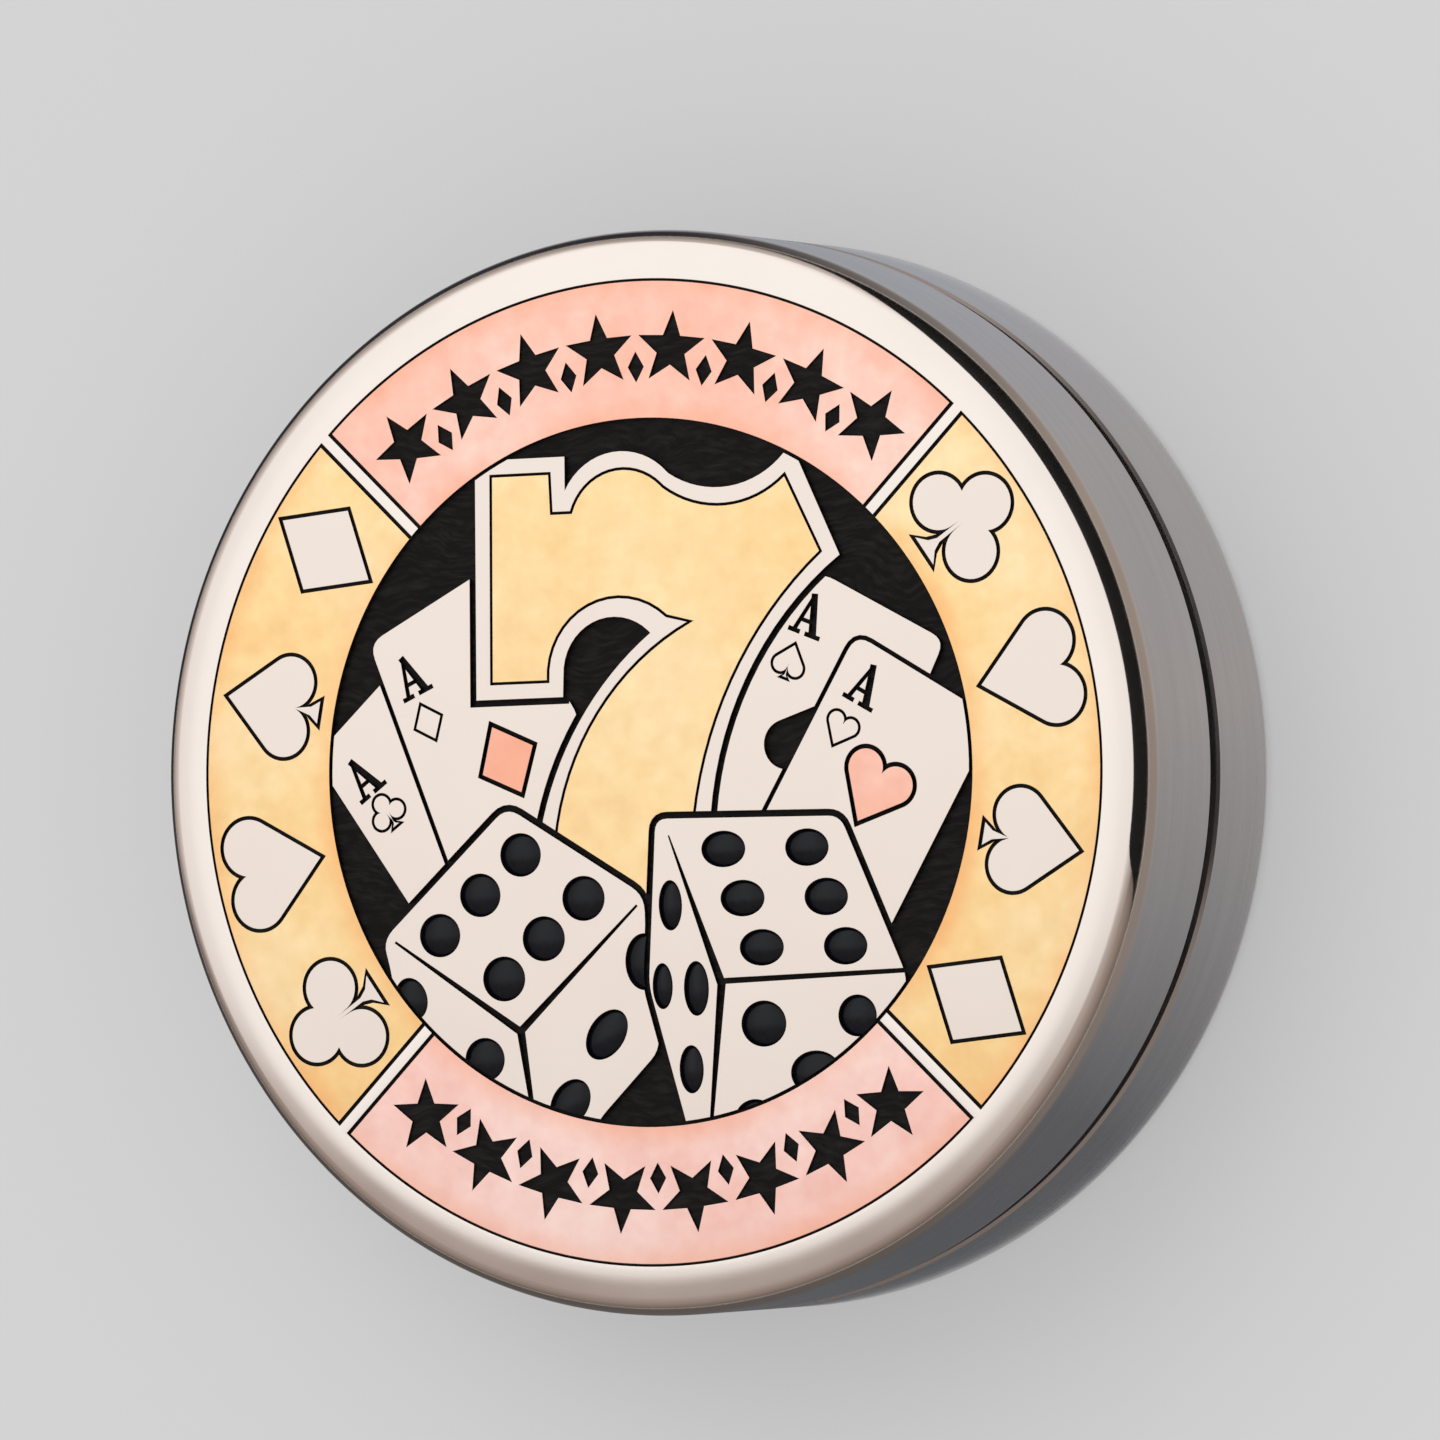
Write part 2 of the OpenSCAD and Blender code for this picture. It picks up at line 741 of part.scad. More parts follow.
// what stays at the height of the face; the lines between pieces are the gaps
module picture_islands() {
    intersection() {
        circle(r = picture_r - line_w);
        union() {
            difference() {
                right_die();
                die_edges();
                pips();
            }
            difference() {
                left_die();
                offset(delta = line_w) right_die();
                die_edges();
                pips();
            }
            difference() {
                seven();
                offset(delta = 2 * line_w) dice();
            }
            difference() {
                front_cards();
                offset(delta = line_w) union() { seven(); dice(); }
            }
            difference() {
                back_cards();
                offset(delta = line_w) union() { seven(); dice(); front_cards(); }
            }
        }
    }
}

module dice() {
    left_die();
    right_die();
}

module front_cards() {
    left_front_card();
    right_front_card();
}

module back_cards() {
    left_back_card();
    difference() {
        right_back_card();
        translate([7.9, 1.3]) rotate(-22) scale(0.9) spade();
    }
}

// ---------------------------------------------------------------- nodes

rear_shell();
rear_track_plate();
rear_plate_screws();
rear_magnet_ring();
rear_magnets();
rear_ring_screws();
centre_post();
centre_screw();
track_balls();
track_cage();
shim_washer();
bearing_inner_ring();
bearing_balls();
bearing_cage();
bearing_outer_ring();
bearing_shields();
front_track_plate();
front_plate_screws();
front_magnet_ring();
front_magnets();
front_ring_screws();
front_shell();
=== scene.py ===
"""A steel dealer button: two halves that turn on each other, with an engraved and heat-tinted face.

Every size is in millimetres until a piece is finished, when it is brought to metres. +Z leaves the
decorated face, +Y is the top of the art and the origin is the centre of the back face.
"""

import logging
import math
from collections.abc import Callable, Iterable, Sequence
from dataclasses import dataclass
from enum import Enum

import bpy
from mathutils import Matrix, Vector


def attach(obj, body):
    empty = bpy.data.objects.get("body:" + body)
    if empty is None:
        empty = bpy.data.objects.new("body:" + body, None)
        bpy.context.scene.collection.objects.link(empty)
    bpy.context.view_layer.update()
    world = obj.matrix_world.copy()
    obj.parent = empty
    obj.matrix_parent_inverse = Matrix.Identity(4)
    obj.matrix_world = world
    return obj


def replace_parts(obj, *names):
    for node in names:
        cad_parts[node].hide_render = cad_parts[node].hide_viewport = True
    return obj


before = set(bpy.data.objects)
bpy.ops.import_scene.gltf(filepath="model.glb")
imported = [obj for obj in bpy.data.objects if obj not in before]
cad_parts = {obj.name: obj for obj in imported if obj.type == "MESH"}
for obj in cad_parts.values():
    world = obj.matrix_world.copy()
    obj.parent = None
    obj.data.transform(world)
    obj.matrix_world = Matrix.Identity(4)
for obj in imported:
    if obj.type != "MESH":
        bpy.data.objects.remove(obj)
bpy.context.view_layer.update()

LOG = logging.getLogger("dealer_button")
MM = 0.001
# how near, in millimetres, doubled points are, things on one level, and things side by side
SAME_POINT = 1e-4
TOUCH = 1e-3
CLEAR = 0.05

Point = tuple[float, float]
Span = tuple[float, float]
Colour = tuple[float, float, float]
Tones = tuple[tuple[float, Colour], ...]


def shaded(colour: Colour, share: float) -> Colour:
    """Gives a colour darkened to a share of itself."""
    return tuple(channel * share for channel in colour)


def linear(red: float, green: float, blue: float) -> Colour:
    """Turns a display colour of 0 to 255 into the linear colour that shaders take.

    Args:
        red: red of the display colour.
        green: green of the display colour.
        blue: blue of the display colour.

    Returns:
        The linear colour.
    """
    def one(value: float) -> float:
        """Gives one channel's linear value."""
        share = value / 255
        return share / 12.92 if share <= 0.04045 else ((share + 0.055) / 1.055) ** 2.4

    return one(red), one(green), one(blue)


# ---------------------------------------------------------------- outlines


def arc(a: Point, b: Point, c: Point, steps: int = 16) -> list[Point]:
    """Gives points along the circle through three points.

    Args:
        a: where the arc starts.
        b: a point on the way.
        c: where it ends.
        steps: how many stretches it is cut into.

    Returns:
        The points, both ends among them.
    """
    span = 2 * (a[0] * (b[1] - c[1]) + b[0] * (c[1] - a[1]) + c[0] * (a[1] - b[1]))
    sa, sb, sc = (p[0] ** 2 + p[1] ** 2 for p in (a, b, c))
    mx = (sa * (b[1] - c[1]) + sb * (c[1] - a[1]) + sc * (a[1] - b[1])) / span
    my = (sa * (c[0] - b[0]) + sb * (a[0] - c[0]) + sc * (b[0] - a[0])) / span
    radius = math.dist(a, (mx, my))
    start = math.atan2(a[1] - my, a[0] - mx)
    middle = (math.atan2(b[1] - my, b[0] - mx) - start) % math.tau
    sweep = (math.atan2(c[1] - my, c[0] - mx) - start) % math.tau
    if middle > sweep:
        sweep -= math.tau
    angles = [start + sweep * i / steps for i in range(steps + 1)]
    return [(mx + radius * math.cos(t), my + radius * math.sin(t)) for t in angles]


def on_ring(radius: float, angle: float) -> Point:
    """Gives the point at a radius and an angle in degrees."""
    turn = math.radians(angle)
    return radius * math.cos(turn), radius * math.sin(turn)


def sweep(centre: Point, radius: float, start: float, end: float, steps: int) -> list[Point]:
    """Gives points along an arc about a centre.

    Args:
        centre: the arc's centre.
        radius: its radius.
        start: its first angle in degrees.
        end: its last angle in degrees.
        steps: how many stretches it is cut into.

    Returns:
        The points, both ends among them.
    """
    angles = [math.radians(start + (end - start) * i / steps) for i in range(steps + 1)]
    return [(centre[0] + radius * math.cos(t), centre[1] + radius * math.sin(t)) for t in angles]


@dataclass(frozen=True)
class Outline:
    """A closed outline in the plane of the face."""

    SHORTEST_MITRE = 0.4

    points: tuple[Point, ...]

    @classmethod
    def of(cls, points: Iterable[Point]) -> "Outline":
        """Makes an outline that runs counter-clockwise and has no doubled points.

        Args:
            points: the corners in order, either way round.

        Returns:
            The outline.
        """
        kept: list[Point] = []
        for point in points:
            if not kept or math.dist(point, kept[-1]) > SAME_POINT:
                kept.append(point)
        if math.dist(kept[0], kept[-1]) < SAME_POINT:
            kept.pop()
        area = sum(p[0] * q[1] - q[0] * p[1] for p, q in zip(kept, kept[1:] + kept[:1]))
        return cls(tuple(kept if area > 0 else kept[::-1]))

    def holds(self, other: "Outline") -> bool:
        """Says whether another outline lies inside this one.

        Args:
            other: an outline that doesn't cross this one.

        Returns:
            Whether it lies inside.
        """
        x, y = other.points[0]
        inside = False
        for (ax, ay), (bx, by) in zip(self.points, self.points[1:] + self.points[:1]):
            if (ay > y) != (by > y) and x < ax + (y - ay) * (bx - ax) / (by - ay):
                inside = not inside
        return inside

    def placed(self, at: Point = (0, 0), turn: float = 0, scale: float = 1) -> "Outline":
        """Gives the outline scaled, turned and moved.

        Args:
            at: where its own origin goes.
            turn: how far it turns, in degrees.
            scale: how much larger it gets.

        Returns:
            The new outline.
        """
        along, across = on_ring(scale, turn)
        return Outline(
            tuple(
                (at[0] + along * x - across * y, at[1] + across * x + along * y)
                for x, y in self.points
            )
        )

    def grown(self, by: float) -> "Outline":
        """Gives the outline moved outwards all round, with sharp corners kept short.

        Args:
            by: how far; a negative value shrinks it.

        Returns:
            The new outline.
        """
        points = self.points
        moved: list[Point] = []
        for i, here in enumerate(points):
            before, after = Vector(points[i - 1]), Vector(points[(i + 1) % len(points)])
            first = (Vector(here) - before).normalized()
            second = (after - Vector(here)).normalized()
            normal = Vector((first.y + second.y, -first.x - second.x))
            if normal.length < SAME_POINT:
                normal = Vector((first.y, -first.x))
            normal.normalize()
            reach = by / max(self.SHORTEST_MITRE, normal.dot(Vector((first.y, -first.x))))
            moved.append((here[0] + normal.x * reach, here[1] + normal.y * reach))
        return Outline(tuple(moved))

    def rounded(self, radius: float, steps: int = 5) -> "Outline":
        """Gives the outline with its corners rounded, as a card's are.

        Args:
            radius: about how far the rounding reaches from each corner.
            steps: stretches of each rounding.

        Returns:
            The new outline.
        """
        points: list[Point] = []
        count = len(self.points)
        for i, corner in enumerate(self.points):
            here = Vector(corner)
            back = Vector(self.points[i - 1]) - here
            on = Vector(self.points[(i + 1) % count]) - here
            start = here + back.normalized() * min(radius, back.length / 2)
            end = here + on.normalized() * min(radius, on.length / 2)
            for j in range(steps + 1):
                t = j / steps
                point = start * (1 - t) ** 2 + here * 2 * t * (1 - t) + end * t ** 2
                points.append((point.x, point.y))
        return Outline.of(points)


def disc(radius: float, steps: int = 192) -> Outline:
    """Gives a circle about the origin."""
    return Outline.of(sweep((0, 0), radius, 0, 360, steps))


def oval(at: Point, rx: float, ry: float, turn: float = 0, steps: int = 40) -> Outline:
    """Gives an ellipse with its half widths rx and ry, turned by an angle in degrees."""
    round_one = [(rx * x, ry * y) for x, y in sweep((0, 0), 1, 0, 360, steps)]
    return Outline.of(round_one).placed(at, turn)


def taper(a: Point, b: Point, width_a: float, width_b: float) -> Outline:
    """Gives a straight stroke that changes width.

    Args:
        a: where it starts.
        b: where it ends.
        width_a: its width at the start.
        width_b: its width at the end.

    Returns:
        The outline.
    """
    along = (Vector(b) - Vector(a)).normalized()
    side = Vector((-along.y, along.x)) / 2
    ends = [
        Vector(a) + side * width_a,
        Vector(a) - side * width_a,
        Vector(b) - side * width_b,
        Vector(b) + side * width_b,
    ]
    return Outline.of((p.x, p.y) for p in ends)


# ---------------------------------------------------------------- marks


class Suit(Enum):
    """The four suits of a pack of cards."""

    CLUB = "club"
    HEART = "heart"
    SPADE = "spade"
    DIAMOND = "diamond"


@dataclass(frozen=True)
class LobeSide:
    """The straight side that runs from a tip on the axis round the outside of a lobe."""

    tip_y: float
    lobe: Point
    radius: float

    def grown(self, by: float) -> "LobeSide":
        """Gives the side moved outwards.

        Args:
            by: how far.

        Returns:
            The new side.
        """
        touch = self.touch()
        slant = touch[0] / math.dist(touch, (0, self.tip_y))
        outwards = 1 if self.tip_y > self.lobe[1] else -1
        return LobeSide(self.tip_y + outwards * by / slant, self.lobe, self.radius + by)

    def touch(self) -> Point:
        """Gives where the side meets the lobe.

        Returns:
            The point.
        """
        dx, dy = self.lobe[0], self.lobe[1] - self.tip_y
        gap = math.hypot(dx, dy)
        spread = math.asin(self.radius / gap) * (-1 if dy > 0 else 1)
        angle = math.atan2(dy, dx) + spread
        reach = math.sqrt(gap ** 2 - self.radius ** 2)
        return reach * math.cos(angle), self.tip_y + reach * math.sin(angle)

    def round_to(self, end: float, steps: int = 26) -> list[Point]:
        """Gives the points from the tip, along the side and round the lobe to an angle."""
        start = angle_of(self.lobe, self.touch())
        return [(0, self.tip_y)] + sweep(self.lobe, self.radius, start, end, steps)


def angle_of(centre: Point, point: Point) -> float:
    """Gives the direction from a centre to a point, in degrees."""
    return math.degrees(math.atan2(point[1] - centre[1], point[0] - centre[0]))


def outer_crossing(a: Point, b: Point, radius: float) -> Point:
    """Gives the right-hand crossing of two equal circles.

    Args:
        a: the first centre.
        b: the second centre.
        radius: the radius of both.

    Returns:
        The crossing.
    """
    gap = math.dist(a, b)
    reach = math.sqrt(radius ** 2 - gap ** 2 / 4)
    across = ((a[1] - b[1]) / gap, (b[0] - a[0]) / gap)
    return (a[0] + b[0]) / 2 + across[0] * reach, (a[1] + b[1]) / 2 + across[1] * reach


def neck_angle(lobe: Point, radius: float, neck: float) -> float:
    """Gives the angle at which a right-hand lobe comes down to a neck of that half width."""
    return -math.degrees(math.acos(max(-1, (neck - lobe[0]) / radius)))


def outside(points: Sequence[Point], lobe: Point, radius: float) -> list[Point]:
    """Gives the points that stand clear of a lobe."""
    return [point for point in points if math.dist(point, lobe) > 1.02 * radius]


def mirrored(right_half: Sequence[Point]) -> list[Point]:
    """Completes a shape from its right half, which runs from the axis back to the axis."""
    return list(right_half) + [(-x, y) for x, y in reversed(right_half)]


def heart_outline(grow: float = 0) -> Outline:
    """Gives a heart that stands on its point, about 5.2 mm tall.

    Args:
        grow: how far it is moved outwards all round.

    Returns:
        The outline.
    """
    side = LobeSide(-2.45, (1.25, 1.22), 1.42).grown(grow)
    notch = 180 - math.degrees(math.acos(min(1, side.lobe[0] / side.radius)))
    return Outline.of(mirrored(side.round_to(notch)))


def spade_outline(grow: float = 0) -> Outline:
    """Gives a spade with its foot, about 5 mm tall.

    Args:
        grow: how far it is moved outwards all round.

    Returns:
        The outline.
    """
    side = LobeSide(2.5, (1.15, -0.75), 1.3).grown(grow)
    neck = max(0.05, 0.12 + grow)
    foot = [(0.3 + grow, -1.98), (0.68 + 1.6 * grow, -2.5 - grow)]
    half = side.round_to(neck_angle(side.lobe, side.radius, neck))
    return Outline.of(mirrored(half + outside(foot, side.lobe, side.radius)))


def club_outline(grow: float = 0) -> Outline:
    """Gives a club with its foot, about 5.2 mm tall.

    Args:
        grow: how far it is moved outwards all round.

    Returns:
        The outline.
    """
    radius, top, side = 1.36 + grow, (0, 1.35), (1.38, -0.5)
    meet = outer_crossing(top, side, radius)
    half = sweep(top, radius, 90, angle_of(top, meet), 20)
    neck = max(0.05, 0.16 + grow)
    half += sweep(side, radius, angle_of(side, meet), neck_angle(side, radius, neck), 30)
    foot = [(0.2 + grow, -1.5), (0.38 + grow, -1.92), (0.93 + 1.6 * grow, -2.45 - grow)]
    return Outline.of(mirrored(half + outside(foot, side, radius)))


def diamond_outline(grow: float = 0) -> Outline:
    """Gives a diamond, 5.6 mm tall.

    Args:
        grow: how far it is moved outwards all round.

    Returns:
        The outline.
    """
    tall, wide = 2.78, 2.27
    share = 1 + grow * math.hypot(tall, wide) / (tall * wide)
    return Outline.of([(0, tall), (-wide, 0), (0, -tall), (wide, 0)]).placed(scale=share)


SUIT_OUTLINES: dict[Suit, Callable[[float], Outline]] = {
    Suit.CLUB: club_outline,
    Suit.HEART: heart_outline,
    Suit.SPADE: spade_outline,
    Suit.DIAMOND: diamond_outline,
}


def star_outline(radius: float, waist: float = 0.42) -> Outline:
    """Gives a five-pointed star with one point up."""
    reach = (radius, radius * waist)
    return Outline.of(on_ring(reach[i % 2], 90 + 36 * i) for i in range(10))


def ace_strokes(at: Point, turn: float) -> list[Outline]:
    """Gives the strokes of the capital on a card's corner, about 2 mm tall.

    Args:
        at: its centre.
        turn: its slant in degrees.

    Returns:
        One outline for each stroke.
    """
    strokes = [
        ((0.02, 0.98), (-0.45, -0.82), 0.16, 0.2),
        ((-0.02, 1.02), (0.5, -0.82), 0.3, 0.38),
        ((-0.34, -0.28), (0.36, -0.28), 0.18, 0.18),
        ((-0.75, -0.86), (-0.15, -0.86), 0.2, 0.2),
        ((0.12, -0.86), (0.9, -0.86), 0.2, 0.2),
    ]
    return [taper(a, b, wa, wb).placed(at, turn) for a, b, wa, wb in strokes]


# ---------------------------------------------------------------- the modelling bench


class Bench:
    """The steps that every modelled piece goes through."""

    @staticmethod
    def clear_selection() -> None:
        """Leaves object mode with nothing selected."""
        if bpy.context.object and bpy.context.object.mode != "OBJECT":
            bpy.ops.object.mode_set(mode="OBJECT")
        bpy.ops.object.select_all(action="DESELECT")

    @staticmethod
    def take(piece: bpy.types.Object) -> None:
        """Selects one piece alone and makes it the active one.

        Args:
            piece: the piece.
        """
        Bench.clear_selection()
        piece.select_set(True)
        bpy.context.view_layer.objects.active = piece

    @staticmethod
    def plate(
        name: str, outlines: Sequence[Outline], low: float, high: float, rim: float = 0
    ) -> bpy.types.Object:
        """Cuts a flat plate from outlines; an outline inside another one is a hole.

        Args:
            name: the piece's name.
            outlines: its outer outlines and its holes.
            low: height of its underside.
            high: height of its top.
            rim: how far its edges are rounded.

        Returns:
            A closed mesh, in millimetres.
        """
        Bench.clear_selection()
        sheet = bpy.data.curves.new(name, "CURVE")
        sheet.dimensions = "2D"
        sheet.fill_mode = "BOTH"
        sheet.extrude = (high - low) / 2 - rim
        sheet.bevel_depth = rim
        sheet.bevel_resolution = 1
        sheet.offset = -rim
        for outline in outlines:
            hole = any(other.holds(outline) for other in outlines if other is not outline)
            points = outline.points[::-1] if hole else outline.points
            spline = sheet.splines.new("POLY")
            spline.points.add(len(points) - 1)
            for point, (x, y) in zip(spline.points, points):
                point.co = (x, y, 0, 1)
            spline.use_cyclic_u = True
        piece = bpy.data.objects.new(name, sheet)
        bpy.context.scene.collection.objects.link(piece)
        Bench.take(piece)
        bpy.ops.object.convert(target="MESH")
        piece = bpy.context.object
        bpy.ops.object.mode_set(mode="EDIT")
        bpy.ops.mesh.select_all(action="SELECT")
        bpy.ops.mesh.remove_doubles(threshold=SAME_POINT)
        bpy.ops.mesh.dissolve_limited(angle_limit=math.radians(0.5))
        bpy.ops.mesh.normals_make_consistent(inside=False)
        bpy.ops.transform.translate(value=(0, 0, (high + low) / 2))
        bpy.ops.object.mode_set(mode="OBJECT")
        return piece

    @staticmethod
    def select_top_rims(piece: bpy.types.Object, height: float) -> None:
        """Selects the edges round a piece's flat top and round the holes in it.

        Args:
            piece: the piece, in millimetres.
            height: the height of its top.
        """
        Bench.take(piece)
        bpy.ops.object.mode_set(mode="EDIT")
        bpy.ops.mesh.select_mode(type="FACE")
        bpy.ops.mesh.select_all(action="DESELECT")
        bpy.ops.object.mode_set(mode="OBJECT")
        for face in piece.data.polygons:
            face.select = face.normal.z > 0.99 and abs(face.center.z - height) < TOUCH
        bpy.ops.object.mode_set(mode="EDIT")
        bpy.ops.mesh.region_to_loop()
        bpy.ops.object.mode_set(mode="OBJECT")

    @staticmethod
    def joined(pieces: Sequence[bpy.types.Object], name: str) -> bpy.types.Object:
        """Joins pieces into the first of them.

        Args:
            pieces: the pieces.
            name: the joined piece's name.

        Returns:
            The joined piece.
        """
        Bench.clear_selection()
        for piece in pieces:
            piece.select_set(True)
        bpy.context.view_layer.objects.active = pieces[0]
        bpy.ops.object.join()
        pieces[0].name = pieces[0].data.name = name
        return pieces[0]

    @staticmethod
    def copied(piece: bpy.types.Object, place: Matrix) -> bpy.types.Object:
        """Copies a piece and its mesh, and moves the mesh.

        Args:
            piece: the piece.
            place: how the copy's mesh is moved.

        Returns:
            The copy.
        """
        copy = piece.copy()
        copy.data = piece.data.copy()
        copy.data.transform(place)
        bpy.context.scene.collection.objects.link(copy)
        return copy

    @staticmethod
    def top_outlines(piece: bpy.types.Object, height: float) -> list[Outline]:
        """Reads the outlines of a piece's flat top, holes among them.

        Args:
            piece: the piece, in millimetres.
            height: the height of its top.

        Returns:
            The outlines.
        """
        Bench.select_top_rims(piece, height)
        beside: dict[int, list[int]] = {}
        for edge in piece.data.edges:
            if edge.select:
                first, second = edge.vertices
                beside.setdefault(first, []).append(second)
                beside.setdefault(second, []).append(first)
        found: list[Outline] = []
        while beside:
            here = start = next(iter(beside))
            loop: list[Point] = []
            while here in beside:
                place = piece.data.vertices[here].co
                loop.append((place.x, place.y))
                onward = beside.pop(here)
                here = next((v for v in onward if v in beside), start)
            if len(loop) > 2:
                found.append(Outline.of(loop))
        return found

    @staticmethod
    def cut(piece: bpy.types.Object, tool: bpy.types.Object, keep: str = "DIFFERENCE") -> None:
        """Cuts a piece with a tool and leaves the tool as it was.

        Args:
            piece: what is cut.
            tool: a closed mesh.
            keep: the boolean operation, DIFFERENCE or INTERSECT.
        """
        Bench.take(piece)
        step = piece.modifiers.new("cut", "BOOLEAN")
        step.operation = keep
        step.solver = "EXACT"
        step.object = tool
        bpy.ops.object.modifier_apply(modifier=step.name)

    @staticmethod
    def soften_top(piece: bpy.types.Object, height: float, width: float, within: float) -> None:
        """Rounds the rim of a piece's flat top a little, as polishing does.

        Args:
            piece: the piece.
            height: the height of its top.
            width: how far the rounding reaches.
            within: rims further than this from the axis are left alone.
        """
        Bench.select_top_rims(piece, height)
        mesh = piece.data
        for edge in mesh.edges:
            middle = (mesh.vertices[edge.vertices[0]].co + mesh.vertices[edge.vertices[1]].co) / 2
            edge.select = edge.select and math.hypot(middle.x, middle.y) < within
        bpy.ops.object.mode_set(mode="EDIT")
        bpy.ops.mesh.bevel(offset=width, segments=2, profile=0.5, affect="EDGES")
        bpy.ops.object.mode_set(mode="OBJECT")

    @staticmethod
    def finish(piece: bpy.types.Object, smooth_angle: float = 30) -> bpy.types.Object:
        """Brings a piece to metres and smooths its round stretches.

        Args:
            piece: the piece, in millimetres.
            smooth_angle: edges flatter than this, in degrees, shade as one surface.

        Returns:
            The same piece.
        """
        Bench.take(piece)
        bpy.ops.object.shade_smooth_by_angle(angle=math.radians(smooth_angle))
        step = piece.modifiers.new("even", "WEIGHTED_NORMAL")
        step.keep_sharp = True
        bpy.ops.object.modifier_apply(modifier=step.name)
        piece.data.transform(Matrix.Scale(MM, 4))
        return piece

    @staticmethod
    def discard(pieces: Iterable[bpy.types.Object]) -> None:
        """Throws away tools that have done their work."""
        for piece in list(pieces):
            bpy.data.objects.remove(piece, do_unlink=True)


class Lathe:
    """A round piece turned about the Z axis from a solid blank."""

    FACETS = 256

    def __init__(self, name: str, radius: float, low: float, high: float) -> None:
        """Chucks a blank.

        Args:
            name: the piece's name.
            radius: the blank's radius.
            low: height of its lower face.
            high: height of its upper face.
        """
        Bench.clear_selection()
        bpy.ops.mesh.primitive_cylinder_add(
            vertices=self.FACETS,
            radius=radius,
            depth=high - low,
            end_fill_type="NGON",
            location=(0, 0, 0),
        )
        self.piece = bpy.context.object
        self.piece.name = name
        self.piece.data.name = name
        self.piece.data.transform(Matrix.Translation((0, 0, (high + low) / 2)))
        self.tool_radius = {True: radius, False: radius}
        self.tool_height = {True: high, False: low}
        bpy.ops.object.mode_set(mode="EDIT")
        bpy.ops.mesh.select_mode(type="FACE")

    def _pick_cap(self, top: bool) -> None:
        """Selects the round face that the tool works on.

        Args:
            top: whether it is on the upper side.
        """
        bpy.ops.mesh.select_all(action="DESELECT")
        bpy.ops.object.mode_set(mode="OBJECT")
        height = self.tool_height[top]
        for face in self.piece.data.polygons:
            flat = face.normal.z > 0.9 if top else face.normal.z < -0.9
            level = abs(face.center.z - height) < SAME_POINT
            centred = math.hypot(face.center.x, face.center.y) < TOUCH
            face.select = flat and level and centred and len(face.vertices) == self.FACETS
        bpy.ops.object.mode_set(mode="EDIT")

    def face_in(self, radius: float, top: bool = True) -> "Lathe":
        """Moves the tool inwards, marking a new circle on the face.

        Args:
            radius: the new circle's radius.
            top: whether it works on the upper side.

        Returns:
            The lathe, for the next step.
        """
        self._pick_cap(top)
        apothem = math.cos(math.pi / self.FACETS)
        step = (self.tool_radius[top] - radius) * apothem
        bpy.ops.mesh.inset(thickness=step, depth=0, use_even_offset=True)
        self.tool_radius[top] = radius
        return self

    def sink_to(self, height: float, top: bool = True) -> "Lathe":
        """Moves the round face inside the tool's circle to another height.

        Args:
            height: the new height.
            top: whether it works on the upper side.

        Returns:
            The lathe, for the next step.
        """
        self._pick_cap(top)
        bpy.ops.mesh.extrude_region_move(
            TRANSFORM_OT_translate={"value": (0, 0, height - self.tool_height[top])}
        )
        self.tool_height[top] = height
        return self

    def round_edge(self, width: float, facets: int, top: bool = True) -> "Lathe":
        """Rounds or breaks the edge of the tool's circle.

        Args:
            width: how far the rounding reaches.
            facets: facets of the rounding; one gives a chamfer.
            top: whether it works on the upper side.

        Returns:
            The lathe, for the next step.
        """
        height, radius = self.tool_height[top], self.tool_radius[top]
        bpy.ops.mesh.select_mode(type="EDGE")
        bpy.ops.mesh.select_all(action="DESELECT")
        bpy.ops.object.mode_set(mode="OBJECT")
        mesh = self.piece.data
        for edge in mesh.edges:
            ends = [mesh.vertices[i].co for i in edge.vertices]
            edge.select = all(
                abs(p.z - height) < TOUCH and abs(math.hypot(p.x, p.y) - radius) < CLEAR
                for p in ends
            )
        bpy.ops.object.mode_set(mode="EDIT")
        bpy.ops.mesh.bevel(offset=width, segments=facets, profile=0.5, affect="EDGES")
        bpy.ops.mesh.select_mode(type="FACE")
        self.tool_radius[top] = radius - width
        return self

    def take_off(self) -> bpy.types.Object:
        """Takes the finished piece off the lathe.

        Returns:
            The piece, in millimetres.
        """
        bpy.ops.mesh.select_all(action="SELECT")
        bpy.ops.mesh.normals_make_consistent(inside=False)
        bpy.ops.object.mode_set(mode="OBJECT")
        return self.piece


# ---------------------------------------------------------------- finishes


